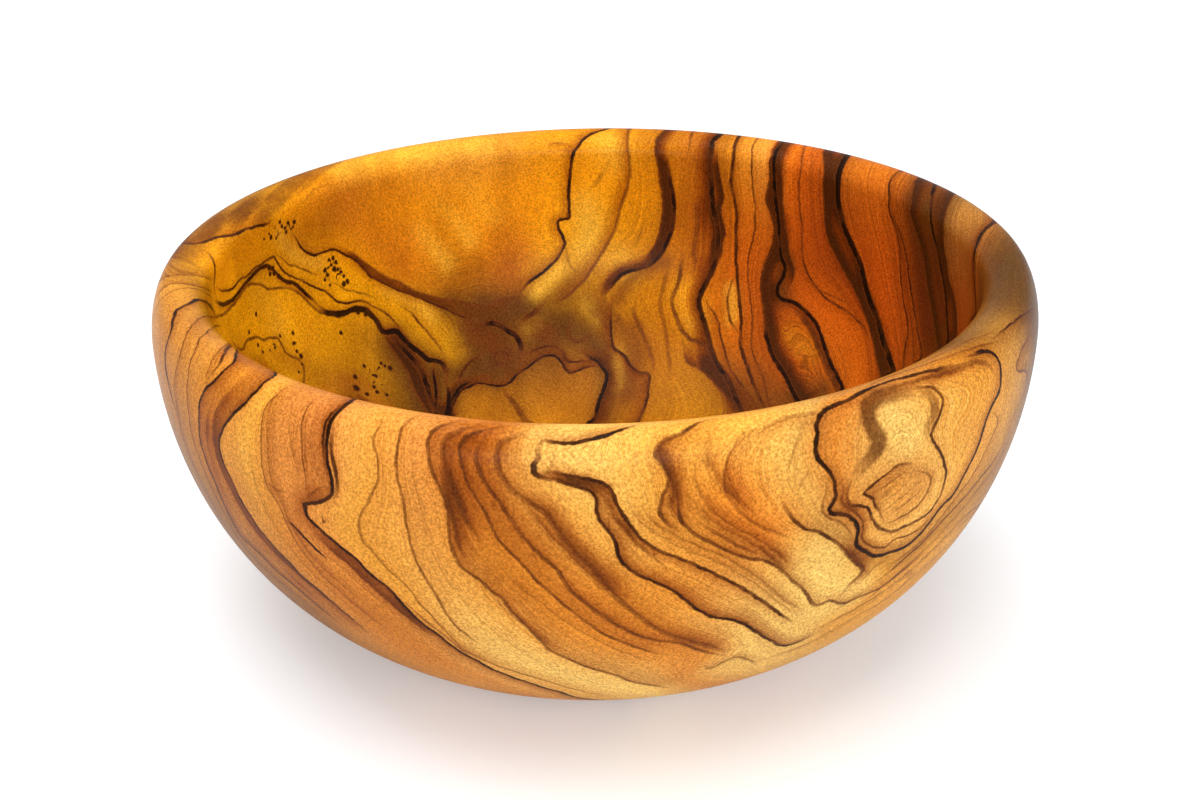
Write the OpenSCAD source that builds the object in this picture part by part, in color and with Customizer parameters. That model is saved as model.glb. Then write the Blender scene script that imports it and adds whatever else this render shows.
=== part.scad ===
// Olive dish: a thick bowl turned from one block of olive wood.
// Lengths are in millimetres. The dish stands on z = 0 with its axis on Z, and opens upwards.
// It is one outline, spun about the axis: the foot, the outer wall, the rim, the lip and the well.

/* [Bowl] */
// Outer diameter at the widest place, just under the rim
bowl_d = 140; // [110:1:170]
// Height from the foot to the crest of the rim
bowl_h = 60.5; // [56:0.5:72]
// Height of the widest place above the foot
widest_h = 51.5; // [40:0.5:55]
// Diameter of the flat foot that the bowl stands on
foot_d = 54; // [36:1:80]

/* [Rim] */
// How far the crest of the rim lies inside the widest place
crest_inset = 3.75; // [2:0.25:7]
// Width of the rounded lip, from the crest in to the throat of the well
lip_w = 5; // [3:0.25:8]
// Depth of the rounded lip, from the crest down to the throat of the well
lip_h = 3.75; // [2:0.25:8]

/* [Well] */
// Thickness of the wood under the middle of the well
floor_t = 8; // [5:0.5:14]
// Fullness of the well: 2 is an ellipse, and more fills out the turn from wall to floor
well_fullness = 2.8; // [2.3:0.1:3.4]

/* [Finish] */
// Facets round the bowl where it is drawn as a mesh
round_facets = 180; // [64:4:256]
// Steps along the outer wall
wall_steps = 48; // [24:4:72]
// Steps along the well
well_steps = 56; // [24:4:80]
// Steps round each side of the rim
rim_steps = 12; // [6:1:20]

/* [Hidden] */

outer_r = bowl_d / 2;
foot_r = foot_d / 2;
crest_r = outer_r - crest_inset;
throat_r = crest_r - lip_w;
throat_h = bowl_h - lip_h;
quarter = 90;

// The sweep of the outer wall: a quarter ellipse, level where it leaves the foot and upright
// where it reaches the widest place. It starts with the edge of the foot.
function outer_wall() = [
    for (step = [0 : wall_steps])
        let (turn = quarter * step / wall_steps)
            [foot_r + (outer_r - foot_r) * sin(turn), widest_h - widest_h * cos(turn)]
];

// The outer half of the rim: a quarter ellipse from the widest place up to the crest.
function rim_outside() = [
    for (step = [1 : rim_steps])
        let (turn = quarter * step / rim_steps)
            [crest_r + crest_inset * cos(turn), widest_h + (bowl_h - widest_h) * sin(turn)]
];

// The inner half of the rim: a quarter ellipse from the crest over to the throat.
function rim_inside() = [
    for (step = [1 : rim_steps])
        let (turn = quarter * step / rim_steps)
            [crest_r - lip_w * sin(turn), throat_h + lip_h * cos(turn)]
];

// The well: a quarter of a squared-off ellipse, upright at the throat and level on the axis.
function well() = [
    for (step = [1 : well_steps])
        let (turn = quarter * step / well_steps)
            [throat_r * pow(cos(turn), 2 / well_fullness),
             throat_h - (throat_h - floor_t) * pow(sin(turn), 2 / well_fullness)]
];

function on_axis(h) = [[0, h]];

module bowl() {
    color("peru")
        rotate_extrude($fn = round_facets)
            polygon(concat(on_axis(0), outer_wall(), rim_outside(), rim_inside(), well()));
}

bowl();
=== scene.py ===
"""Olive dish: a thick round bowl turned from one block of olive wood, on a plain pale floor.

The bowl is an outline spun about Z. Its figure follows growth rings that run through the block: grain lines
are drawn on the outside and in the well, and a smooth grain height is fitted to them through the
block. The material draws the lines, the brown bands beside them and the fine streaks between them.
"""
import math

import bpy
import numpy as np
from mathutils import Matrix, Vector
from mathutils.bvhtree import BVHTree


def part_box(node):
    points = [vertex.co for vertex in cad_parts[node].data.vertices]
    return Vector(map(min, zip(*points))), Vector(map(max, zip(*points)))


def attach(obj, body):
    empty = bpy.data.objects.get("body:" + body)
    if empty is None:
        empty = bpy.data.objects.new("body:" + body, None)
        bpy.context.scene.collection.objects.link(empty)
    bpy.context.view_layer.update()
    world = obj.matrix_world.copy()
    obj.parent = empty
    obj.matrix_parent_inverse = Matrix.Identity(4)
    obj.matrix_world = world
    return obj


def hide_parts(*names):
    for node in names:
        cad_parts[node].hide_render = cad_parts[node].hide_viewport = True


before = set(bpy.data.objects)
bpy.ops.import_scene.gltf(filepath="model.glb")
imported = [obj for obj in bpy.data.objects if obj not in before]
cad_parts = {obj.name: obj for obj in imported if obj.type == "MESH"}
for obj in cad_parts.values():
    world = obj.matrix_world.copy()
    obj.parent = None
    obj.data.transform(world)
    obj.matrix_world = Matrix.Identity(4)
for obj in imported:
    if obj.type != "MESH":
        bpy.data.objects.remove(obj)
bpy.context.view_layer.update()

MM = 0.001

# The bowl's own sizes, in metres. Its height and width come from the frame.
LOW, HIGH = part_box("bowl")
OUTER_R = (HIGH.x - LOW.x) / 2
BOWL_H = HIGH.z
WIDEST_H = 51.5 * MM
FOOT_R = 27 * MM
CREST_INSET = 3.75 * MM
LIP_W = 5 * MM
LIP_H = 3.75 * MM
FLOOR_T = 8 * MM
WELL_FULLNESS = 2.8
CREST_R = OUTER_R - CREST_INSET
THROAT_R = CREST_R - LIP_W
THROAT_H = BOWL_H - LIP_H

# The mesh
OUTLINE_STEPS = 400
RINGS = 208
SECTORS = 456
MERGE_GAP = 0.02 * MM

# The camera, as the bowl's outline in the photograph gives it: it looks at the bowl and turns a little.
PHOTO_W = 1200
PHOTO_H = 800
SENSOR_W = 36
FOCAL_PX = 1653.3
CAMERA_FAR = 278 * MM
CAMERA_ELEVATION = math.radians(25.95)
CAMERA_YAW = math.radians(-0.121)
CAMERA_PITCH = math.radians(0.469)
CAMERA_ROLL = math.radians(0.842)
AIM_H = 30.4 * MM
CAMERA_NEAR = 10 * MM


def camera_axes():
    """Place and axes of the camera: eye, forward, right, up."""
    eye = Vector((0, -CAMERA_FAR * math.cos(CAMERA_ELEVATION), AIM_H + CAMERA_FAR * math.sin(CAMERA_ELEVATION)))
    forward = (Vector((0, 0, AIM_H)) - eye).normalized()
    right = Vector((1, 0, 0))
    up = right.cross(forward)
    yaw = Matrix.Rotation(CAMERA_YAW, 3, up)
    forward, right = yaw @ forward, yaw @ right
    pitch = Matrix.Rotation(CAMERA_PITCH, 3, right)
    forward, up = pitch @ forward, pitch @ up
    roll = Matrix.Rotation(CAMERA_ROLL, 3, forward)
    return eye, forward, roll @ right, roll @ up


EYE, FORWARD, RIGHT, UP = camera_axes()


def add_camera():
    data = bpy.data.cameras.new("camera")
    data.sensor_width = SENSOR_W
    data.lens = FOCAL_PX * SENSOR_W / PHOTO_W
    data.clip_start = CAMERA_NEAR
    camera = bpy.data.objects.new("camera", data)
    bpy.context.scene.collection.objects.link(camera)
    turn = Matrix((RIGHT, UP, -FORWARD)).transposed()
    camera.matrix_world = Matrix.Translation(EYE) @ turn.to_4x4()
    bpy.context.scene.camera = camera


def sight_line(px, py):
    """Direction from the eye through a pixel of the 1200 x 800 frame."""
    across = float(px - PHOTO_W / 2) / FOCAL_PX
    rise = float(PHOTO_H / 2 - py) / FOCAL_PX
    return (FORWARD + across * RIGHT + rise * UP).normalized()


# The bowl's outline, spun into a mesh

def outline():
    """Points (r, z) from the middle of the foot up the wall, over the rim and down to the well's middle."""
    turn = np.linspace(0, math.pi / 2, OUTLINE_STEPS)
    foot = np.array([[0, 0], [FOOT_R, 0]])
    wall = np.c_[FOOT_R + (OUTER_R - FOOT_R) * np.sin(turn), WIDEST_H - WIDEST_H * np.cos(turn)]
    rim = np.c_[CREST_R + CREST_INSET * np.cos(turn), WIDEST_H + (BOWL_H - WIDEST_H) * np.sin(turn)]
    lip = np.c_[CREST_R - LIP_W * np.sin(turn), THROAT_H + LIP_H * np.cos(turn)]
    power = 2 / WELL_FULLNESS
    cosine = np.cos(turn).clip(0, 1)
    well = np.c_[THROAT_R * cosine ** power, THROAT_H - (THROAT_H - FLOOR_T) * np.sin(turn) ** power]
    return np.vstack([foot, wall[1:], rim[1:], lip[1:], well[1:]])


def run_of(points):
    """Distance along a chain of points, starting at 0."""
    return np.r_[0, np.cumsum(np.linalg.norm(np.diff(points, axis=0), axis=1))]


OUTLINE = outline()
OUTLINE_RUN = run_of(OUTLINE)
FULL_RUN = OUTLINE_RUN[-1]


def outline_at(run):
    return np.interp(run, OUTLINE_RUN, OUTLINE[:, 0]), np.interp(run, OUTLINE_RUN, OUTLINE[:, 1])


def select_only(obj):
    bpy.ops.object.select_all(action="DESELECT")
    obj.select_set(True)
    bpy.context.view_layer.objects.active = obj


def spin_bowl():
    """A circle with a vertex for each ring is laid along the outline, opened on the axis and spun."""
    bpy.ops.object.select_all(action="DESELECT")
    bpy.ops.mesh.primitive_circle_add(vertices=RINGS, radius=OUTER_R, fill_type="NOTHING")
    bowl = bpy.context.object
    bowl.name = "olive_bowl"
    radii, heights = outline_at(np.linspace(0, FULL_RUN, RINGS))
    radii[[0, -1]] = 0
    for vertex, radius, height in zip(bowl.data.vertices, radii, heights):
        vertex.co = (radius, 0, height)
    select_only(bowl)
    bpy.ops.object.mode_set(mode="EDIT")
    bpy.ops.mesh.select_mode(type="VERT")
    bpy.ops.mesh.select_all(action="DESELECT")
    bpy.ops.object.mode_set(mode="OBJECT")
    bowl.data.vertices[0].select = True
    bowl.data.vertices[RINGS - 1].select = True
    bpy.ops.object.mode_set(mode="EDIT")
    bpy.ops.mesh.delete(type="EDGE_FACE")
    bpy.ops.mesh.select_all(action="SELECT")
    bpy.ops.mesh.spin(steps=SECTORS, angle=2 * math.pi, center=(0, 0, 0), axis=(0, 0, 1))
    bpy.ops.mesh.select_all(action="SELECT")
    bpy.ops.mesh.remove_doubles(threshold=MERGE_GAP)
    bpy.ops.mesh.select_all(action="SELECT")
    bpy.ops.mesh.normals_make_consistent(inside=False)
    bpy.ops.object.mode_set(mode="OBJECT")
    bpy.ops.object.shade_smooth()
    return bowl


# The figure of the wood
#
# A grain line is a row of: its height across the grain, its ink (0 to 1), its width, the ink and the reach of
# the brown band beside it, and the points it runs through. Heights, widths and reaches are millimetres. A band
# lies left of the line's run; one with a negative ink lies right. Points are pixels of the 1200 x 800 frame.

OUTSIDE_LINES = [
    # left flank
    (-43, 0.9, 0.55, 0.3, 1.5, [(215, 312), (207, 303), (198, 300), (190, 303), (182, 307), (176, 311),
        (173, 320), (171, 331), (167, 343), (165, 354), (166, 370), (170, 390), (177, 415)]),
    (-39.6, 0.6, 0.3, 0.25, 2, [(218, 318), (208, 316), (200, 318), (192, 325), (187, 334), (183, 344),
        (180, 355), (176, 370), (174, 385), (176, 402), (179, 420), (183, 438), (189, 455), (198, 476),
        (212, 503), (232, 537), (255, 567), (285, 594), (312, 614)]),
    (-37.6, 0.6, 0.3, 0.2, 2, [(221, 325), (212, 328), (205, 334), (200, 338), (197, 347), (192, 357),
        (189, 368), (187, 385), (187, 398), (189, 415), (192, 435), (198, 455), (206, 475), (220, 505),
        (240, 541), (262, 566), (290, 590), (320, 613)]),
    (-35.5, 0.5, 0.25, 0.2, 1.5, [(230, 342), (220, 350), (213, 358), (209, 367), (206, 377), (205, 387)]),
    (-34.7, 0.7, 0.5, 0.1, 1, [(232, 344), (226, 350), (223, 357), (220, 364), (214, 371), (209, 377)]),
    (-33, 0.9, 0.4, 0.45, 2.6, [(238, 346), (236, 355), (234, 362), (226, 369), (219, 376), (211, 384),
        (205, 388), (203, 393), (200, 400), (199, 412), (199, 425), (200, 440), (203, 452), (208, 466),
        (213, 478), (225, 507), (240, 535), (250, 545), (262, 556), (275, 570), (290, 582), (305, 595),
        (320, 608), (340, 624)]),
    (-31, 0.3, 0.3, 0.15, 1.5, [(212, 400), (207, 420), (207, 440), (211, 460), (219, 482), (232, 508),
        (248, 533), (262, 548), (280, 566), (300, 585), (325, 607)]),
    (-29, 0.35, 0.25, 0.2, 1.5, [(240, 380), (226, 395), (216, 410), (213, 430), (215, 450), (222, 472),
        (235, 498), (249, 522), (266, 544), (285, 563), (305, 580), (330, 602)]),
    (-26, 0.92, 0.42, -0.5, 3.5, [(274, 366), (276, 371), (274, 376), (268, 380), (262, 385), (257, 391),
        (251, 397), (245, 403), (240, 408), (233, 414), (229, 420), (223, 428), (220, 436), (219, 445),
        (221, 455), (225, 467), (231, 479), (240, 498), (252, 518), (260, 530), (268, 539), (276, 549),
        (285, 558), (293, 566), (300, 574), (309, 582), (318, 589), (327, 597), (336, 605), (350, 617),
        (368, 632)]),
    (-20, 0.2, 0.3, 0.15, 2, [(250, 452), (252, 470), (258, 492), (268, 515), (282, 538), (300, 560),
        (322, 583), (346, 604), (372, 625)]),
    (-14.5, 0.5, 0.25, 0.25, 3, [(297, 384), (290, 386), (282, 390), (277, 395), (270, 401), (265, 409),
        (262, 420), (261, 435), (261, 450), (262, 465), (266, 484), (272, 494), (278, 504), (285, 519),
        (291, 533), (300, 548), (311, 562), (324, 577), (338, 590), (352, 602), (368, 615), (390, 632)]),
    (-13, 0.3, 0.2, 0.15, 2, [(273, 398), (269, 410), (267, 425), (267, 445), (269, 465), (272, 482),
        (278, 496), (285, 511), (293, 528), (303, 545), (315, 560), (330, 575), (348, 590), (366, 605)]),
    (-8, 0.25, 0.25, 0.2, 2, [(291, 405), (289, 420), (290, 440), (293, 455), (297, 470), (299, 485)]),
    (-5.4, 0.55, 0.28, 0.2, 2.5, [(320, 396), (313, 401), (307, 408), (303, 417), (301, 430), (302, 445),
        (303, 460), (305, 475), (306, 486), (308, 496)]),
    (-4.2, 0.3, 0.2, 0.1, 1, [(309, 410), (306, 422), (305, 440), (306, 458), (308, 472), (308, 482)]),
    (-9, 0.25, 0.3, 0.2, 2, [(304, 530), (318, 547), (334, 561), (350, 575), (364, 588), (380, 601),
        (396, 615)]),
    (-5, 0.45, 0.4, 0.3, 2, [(318, 536), (330, 549), (346, 562), (360, 576), (374, 589), (390, 603),
        (408, 618), (428, 634)]),
    (0, 0.95, 0.55, -0.45, 2.6, [(358, 398), (350, 402), (343, 407), (337, 413), (332, 419), (329, 427),
        (327, 440), (327, 452), (328, 464), (331, 478), (333, 490), (331, 496), (325, 500), (318, 502),
        (310, 503), (304, 504), (305, 510), (308, 517), (313, 523), (319, 528), (325, 534), (334, 541),
        (342, 548), (350, 554), (358, 561), (366, 570), (374, 577), (382, 583), (390, 590), (398, 599),
        (407, 609), (416, 618), (428, 628), (440, 636), (448, 643), (458, 650), (468, 656), (478, 661),
        (490, 668), (502, 673), (515, 678), (530, 683), (545, 688), (560, 692), (575, 697), (590, 699)]),
    (-1, 0.8, 0.35, 0, 1, [(348, 402), (338, 408), (329, 416), (325, 426), (323, 440), (324, 455),
        (326, 470)]),
    (1, 0.7, 0.6, 0.25, 1, [(334, 420), (332, 432), (331, 446), (333, 458), (335, 470), (337, 482),
        (337, 492), (333, 499)]),
    (-2, 0.6, 0.3, 0, 1, [(304, 500), (310, 496), (316, 490), (322, 487), (329, 488)]),
    # brown streaks on the front
    (44, 0.35, 0.9, 0.35, 3, [(664, 432), (658, 446), (660, 460), (668, 474), (672, 490), (670, 506),
        (678, 520)]),
    (50, 0.3, 1.2, 0.3, 2.5, [(712, 432), (706, 446), (707, 460), (714, 474), (724, 488), (736, 500),
        (750, 512)]),
    (47, 0.3, 1, 0.3, 2.5, [(690, 500), (702, 514), (718, 526), (736, 536), (754, 546), (770, 558),
        (784, 572)]),
    (28, 0.3, 0.9, 0.4, 3.2, [(520, 500), (534, 516), (548, 534), (566, 552), (584, 570), (602, 586),
        (622, 600)]),
    # small marks
    (-12, 0.6, 0.3, 0, 1, [(264, 482), (270, 485), (277, 490), (287, 492)]),
    (-10, 0.9, 0.5, 0, 1, [(305, 538), (307, 540), (309, 542)]),
    (1.5, 0.6, 0.25, 0, 1, [(324, 516), (327, 520), (325, 524), (322, 521), (322, 517), (324, 516)]),
    # the plain front
    (9, 0.5, 0.35, 0.15, 2.5, [(384, 414), (378, 428), (373, 440), (376, 452), (378, 465), (378, 480),
        (376, 488), (371, 495), (368, 503), (363, 510), (360, 517), (359, 525), (360, 535), (365, 545),
        (371, 550), (376, 556), (382, 563), (390, 571), (400, 580), (410, 590), (417, 600), (426, 610),
        (436, 621), (447, 633), (455, 641), (463, 649), (478, 657), (495, 665), (510, 670), (530, 676),
        (550, 682), (570, 688), (590, 693), (612, 697)]),
    (5, 0.55, 0.35, 0.1, 1.5, [(404, 602), (420, 616), (436, 629), (450, 640), (462, 650), (474, 656),
        (490, 663)]),
    (13, 0.55, 0.4, 0.2, 2.5, [(420, 415), (408, 421), (402, 428), (399, 440), (397, 455), (396, 470),
        (399, 485), (403, 500), (405, 515), (408, 530), (411, 545), (416, 560), (422, 572), (428, 583),
        (435, 594), (441, 604), (446, 614), (456, 626), (468, 636), (482, 646)]),
    (15, 0.15, 0.3, 0.1, 2, [(413, 440), (412, 460), (414, 480), (419, 500), (424, 520), (429, 540),
        (436, 560), (447, 580), (462, 600), (480, 620), (505, 640), (535, 660), (570, 675), (610, 688)]),
    (18.6, 0.6, 0.5, 0.38, 4.5, [(462, 420), (442, 426), (430, 434), (428, 445), (429, 458), (431, 467),
        (436, 480), (442, 492), (446, 503), (448, 516), (449, 530), (451, 545), (455, 557), (462, 567),
        (470, 574), (480, 580), (490, 590), (502, 599), (512, 612), (525, 625), (538, 638), (550, 650),
        (562, 656), (575, 662), (590, 668), (605, 672), (620, 677), (632, 682), (650, 685), (668, 688)]),
    (20.5, 0.6, 0.5, 0.25, 2, [(440, 470), (445, 490), (450, 508), (454, 524), (457, 540), (460, 552),
        (466, 560)]),
    (22, 0.45, 0.7, 0.3, 2.5, [(480, 424), (458, 432), (444, 440), (443, 455), (444, 468), (448, 482),
        (454, 496), (460, 510), (468, 524), (475, 534), (482, 542)]),
    (24.5, 0.6, 0.45, 0.3, 3, [(506, 426), (478, 432), (462, 440), (459, 450), (461, 462), (465, 476),
        (470, 488), (477, 499), (483, 509), (488, 520), (495, 534), (504, 546), (514, 556), (524, 566),
        (533, 577), (543, 587), (554, 596), (566, 606), (578, 616), (592, 626), (606, 635), (625, 643),
        (645, 650), (662, 655)]),
    (26.5, 0.6, 0.6, 0.3, 3, [(486, 436), (478, 446), (476, 458), (478, 468), (483, 479), (490, 490),
        (499, 502), (508, 515), (518, 530), (528, 542), (538, 553), (550, 563), (560, 573), (567, 586),
        (578, 597), (592, 608), (606, 618), (622, 628), (640, 636), (660, 641), (680, 643), (700, 650),
        (722, 656)]),
    (30.5, 0.5, 0.8, 0.32, 4, [(526, 432), (506, 440), (497, 450), (497, 462), (501, 474), (508, 486),
        (517, 494), (527, 501), (538, 508), (548, 516), (555, 526), (562, 538), (571, 549), (581, 559),
        (591, 569), (600, 580), (611, 592), (624, 604), (638, 615), (652, 626), (666, 634), (684, 640),
        (704, 645), (726, 652)]),
    (23, 0.3, 0.3, 0.15, 1.5, [(500, 567), (512, 580), (526, 592), (540, 602), (553, 613), (568, 623),
        (584, 633), (600, 642), (618, 650), (636, 657), (652, 665)]),
    (20.6, 0.25, 0.3, 0.15, 1.5, [(480, 585), (496, 600), (512, 616), (530, 630), (546, 643), (562, 652)]),
    # the knot mark under the rim, and the lines that leave it
    (40.5, 0.98, 0.5, 0.35, 1.6, [(536, 448), (541, 442), (548, 441), (556, 443), (566, 444), (577, 443),
        (588, 440), (600, 437), (608, 435), (617, 431), (626, 428), (637, 425)]),
    (36.5, 0.98, 0.7, 0, 1, [(541, 444), (537, 450), (538, 457), (535, 463), (532, 468), (534, 473),
        (541, 477), (549, 479), (557, 480)]),
    (38.5, 0.6, 0.4, 0, 1, [(553, 454), (555, 462), (551, 466), (547, 471)]),
    (37, 0.85, 0.5, 0.5, 2.3, [(541, 478), (552, 479), (565, 483), (576, 486), (587, 490), (594, 494),
        (597, 502), (597, 512), (600, 521), (606, 529), (612, 536), (616, 545), (618, 555), (622, 562),
        (628, 568), (638, 575), (650, 580), (662, 585), (672, 590), (682, 597), (692, 605), (700, 611),
        (710, 616), (722, 619), (732, 620), (742, 623), (752, 629), (762, 636), (772, 641), (778, 645),
        (790, 645), (803, 640), (818, 632)]),
    (39.5, 0.8, 0.5, -0.3, 1.3, [(541, 472), (552, 472), (565, 475), (578, 478), (592, 480), (602, 483),
        (609, 487), (614, 495), (617, 504), (622, 513), (628, 522), (634, 530), (641, 538), (650, 545),
        (660, 551), (672, 556), (686, 561), (697, 566), (707, 570), (718, 576), (727, 580), (737, 585),
        (747, 591), (761, 600), (776, 611), (792, 622)]),
    (38.2, 0.45, 0.5, 0.15, 1, [(608, 505), (613, 516), (620, 525), (628, 534), (640, 546), (652, 556),
        (664, 567)]),
    (41.3, 0.3, 0.3, 0.2, 1.5, [(628, 500), (634, 513), (644, 525), (658, 535), (674, 544), (692, 552),
        (712, 560), (734, 571), (756, 585), (778, 602), (800, 618)]),
    (43, 0.3, 0.35, 0.2, 1.5, [(640, 505), (650, 518), (664, 529), (682, 539), (702, 548), (722, 556),
        (742, 567), (762, 581), (782, 598), (804, 612)]),
    (44.4, 0.65, 0.5, 0.35, 2.2, [(714, 419), (700, 422), (692, 427), (683, 433), (672, 437), (662, 442),
        (656, 449), (656, 456), (661, 463), (667, 472), (669, 480), (666, 489), (662, 497), (660, 507),
        (661, 515), (668, 524), (680, 533)]),
    (45.5, 0.65, 0.5, 0.3, 2, [(676, 488), (677, 498), (678, 508), (680, 517), (684, 524), (691, 531),
        (698, 537), (708, 541), (718, 546), (728, 551), (738, 555), (750, 558), (762, 560), (772, 564),
        (781, 570), (790, 578), (797, 584), (803, 590), (808, 597), (812, 603), (818, 606), (824, 603),
        (830, 600), (838, 603), (845, 603), (853, 600), (862, 596), (880, 588), (900, 573), (925, 552)]),
    (46.6, 0.55, 0.5, 0.2, 1.5, [(698, 520), (705, 526), (713, 531), (724, 538), (736, 545), (750, 551),
        (764, 556)]),
    (47.5, 0.25, 0.4, 0.25, 2, [(700, 455), (694, 467), (695, 480), (701, 494), (708, 507), (722, 520),
        (740, 531), (760, 541), (778, 554), (790, 568)]),
    (50, 0.35, 0.4, 0.3, 3, [(760, 428), (742, 434), (733, 448), (727, 462), (724, 476), (726, 492),
        (733, 504), (743, 515), (756, 524), (774, 532), (794, 540)]),
    (52, 0.25, 0.4, 0.2, 2, [(764, 460), (760, 475), (764, 490), (772, 502)]),
    (53, 0.75, 0.5, 0.3, 2, [(782, 500), (785, 508), (790, 515), (796, 522), (804, 528), (814, 531),
        (824, 535), (834, 541), (843, 549), (850, 557), (858, 564), (866, 572)]),
    (54.5, 0.35, 0.35, 0.15, 1.5, [(810, 464), (806, 475), (800, 486), (797, 496)]),
    (55, 0.35, 0.4, 0.2, 1.5, [(806, 418), (800, 430), (796, 443), (791, 458), (787, 472)]),
    (56, 0.45, 0.35, 0.2, 1.5, [(828, 478), (826, 490), (823, 502), (822, 512), (830, 518), (842, 523),
        (850, 532), (853, 543)]),
    (51, 0.3, 0.6, 0.3, 2, [(826, 412), (806, 414), (786, 418), (764, 428), (748, 438)]),
    # the swirl on the right
    (61, 0.95, 0.6, 0.3, 2, [(955, 365), (940, 369), (925, 372), (905, 377), (890, 381), (875, 386),
        (862, 392), (850, 399), (840, 403), (830, 408), (822, 413), (817, 420), (816, 427), (818, 434),
        (817, 440), (815, 447), (816, 454), (820, 461), (826, 468), (831, 475), (835, 482), (835, 490),
        (836, 498), (833, 503), (829, 508), (831, 513), (838, 514), (846, 515), (852, 519), (857, 525),
        (858, 532), (856, 540), (858, 547), (866, 552), (874, 556), (886, 554), (900, 549), (912, 542),
        (922, 532), (932, 519), (942, 506), (952, 496), (959, 485), (966, 471), (974, 456), (980, 441),
        (983, 430), (988, 415), (994, 402), (1000, 390), (1001, 376), (1000, 364), (995, 355), (988, 351),
        (977, 353), (966, 358)]),
    (59.5, 0.5, 0.3, 0.2, 1, [(1000, 341), (980, 346), (960, 352), (940, 359), (920, 366), (900, 373),
        (880, 380), (864, 388)]),
    (58.5, 0.4, 0.25, 0, 1, [(995, 332), (975, 338), (955, 347), (935, 357), (915, 365)]),
    (62, 0.6, 0.35, 0.15, 1.2, [(840, 478), (841, 484), (844, 489), (841, 499), (844, 506), (855, 512),
        (861, 519), (863, 527), (861, 536), (866, 544), (875, 547), (885, 547), (895, 539), (906, 536),
        (919, 529), (930, 518)]),
    (64, 0.75, 0.5, 0.1, 1, [(914, 388), (924, 387), (933, 388), (941, 395), (943, 401), (941, 411),
        (936, 423), (931, 433), (934, 443), (941, 453), (944, 463), (946, 473), (944, 483), (941, 493),
        (936, 503), (929, 512), (916, 521), (903, 527), (893, 531), (881, 529), (875, 524), (871, 516),
        (868, 509), (861, 506), (853, 506), (848, 501), (848, 489), (853, 479)]),
    (65.3, 0.6, 2.3, 0.1, 1, [(914, 389), (900, 391), (886, 394), (875, 399), (868, 407), (868, 416),
        (871, 426), (876, 434), (880, 441), (878, 449), (871, 457), (863, 466), (854, 475)]),
    (65, 0.6, 1.0, 0.1, 1, [(872, 399), (866, 404), (862, 411), (861, 419), (857, 428)]),
    (65.2, 0.5, 1.5, 0.1, 1, [(918, 391), (928, 394), (934, 401), (935, 411), (931, 420), (927, 429),
        (930, 438)]),
    (68, 0.7, 0.4, 0.3, 1.2, [(914, 468), (914, 464), (906, 463), (896, 466), (888, 473), (878, 481),
        (868, 489), (864, 491), (866, 495), (873, 499), (875, 506), (880, 514), (884, 522)]),
    (67.4, 0.6, 0.35, 0.2, 1, [(914, 469), (920, 472), (926, 473), (931, 479), (929, 489), (923, 499),
        (916, 507), (903, 516), (893, 521), (884, 524)]),
    (70, 0.55, 0.35, 0.2, 1, [(874, 493), (880, 489), (888, 484), (897, 478), (905, 472), (910, 474)]),
    (71, 0.6, 1.3, 0, 1, [(879, 497), (885, 494), (890, 490), (893, 487)]),
    (70, 0.5, 0.3, 0, 1, [(883, 502), (890, 498), (898, 491), (906, 484), (912, 478)]),
    (69, 0.5, 0.3, 0, 1, [(886, 509), (893, 504), (902, 497), (911, 489), (918, 483)]),
    (68.3, 0.5, 0.3, 0, 1, [(889, 515), (898, 509), (907, 502), (916, 495), (922, 488)]),
    (63.4, 0.5, 0.5, 0.1, 1, [(970, 368), (950, 372), (930, 377), (908, 383), (888, 389), (872, 394),
        (856, 402)]),
    (62.8, 0.55, 0.8, 0.2, 1, [(994, 372), (986, 364), (974, 362), (960, 367), (942, 372), (924, 377)]),
    # right flank
    (58, 0.5, 0.3, 0.2, 1, [(993, 412), (998, 420), (994, 432), (988, 446), (980, 462), (971, 478),
        (960, 492), (948, 508), (936, 524), (920, 542), (903, 556), (888, 566)]),
    (56.5, 0.85, 0.35, 0.15, 1, [(1004, 442), (998, 454), (990, 466), (980, 478), (970, 491), (960, 502),
        (947, 516), (934, 530), (920, 545), (905, 558), (890, 571), (876, 582)]),
    (55, 0.4, 0.3, 0.15, 1, [(1012, 432), (1004, 450), (994, 468), (980, 486), (965, 506), (949, 524),
        (932, 542), (914, 559), (896, 575), (876, 592), (856, 606)]),
    (53.5, 0.5, 0.3, 0.1, 1, [(1018, 405), (1012, 420), (1006, 438)]),
    (52.5, 0.55, 0.3, 0.2, 1.5, [(988, 498), (972, 510), (957, 524), (940, 542), (922, 560), (902, 577),
        (882, 592), (860, 606), (838, 618), (816, 630)]),
    (51, 0.4, 0.3, 0.2, 1.5, [(948, 545), (928, 564), (906, 582), (884, 600), (860, 614), (836, 628),
        (806, 644), (776, 656)]),
    (52, 0.6, 0.4, 0.3, 2, [(1027, 314), (1029, 326), (1027, 340), (1022, 348), (1019, 358), (1015, 366),
        (1018, 371), (1025, 371), (1027, 378), (1025, 390), (1019, 404)]),
    (56, 0.75, 0.35, 0.3, 2, [(1030, 310), (1018, 318), (1010, 325), (1001, 332), (992, 339)]),
    # low on the right, where lines meet
    (48, 0.6, 0.8, 0.3, 2, [(838, 545), (847, 553), (856, 561), (863, 569), (858, 577), (850, 584),
        (842, 594)]),
    (49.5, 0.5, 0.4, 0.2, 1, [(860, 583), (868, 574), (876, 566), (886, 560)]),
    (42.5, 0.5, 0.4, 0.2, 1, [(834, 612), (842, 606), (850, 601), (858, 596), (866, 590)]),
    (35, 0.5, 0.4, 0.3, 1.5, [(703, 665), (710, 669), (718, 665), (728, 660), (738, 657), (748, 660),
        (756, 664)]),
    (36, 0.35, 0.3, 0.2, 1, [(756, 662), (774, 656), (792, 650), (810, 643)]),
]

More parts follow.
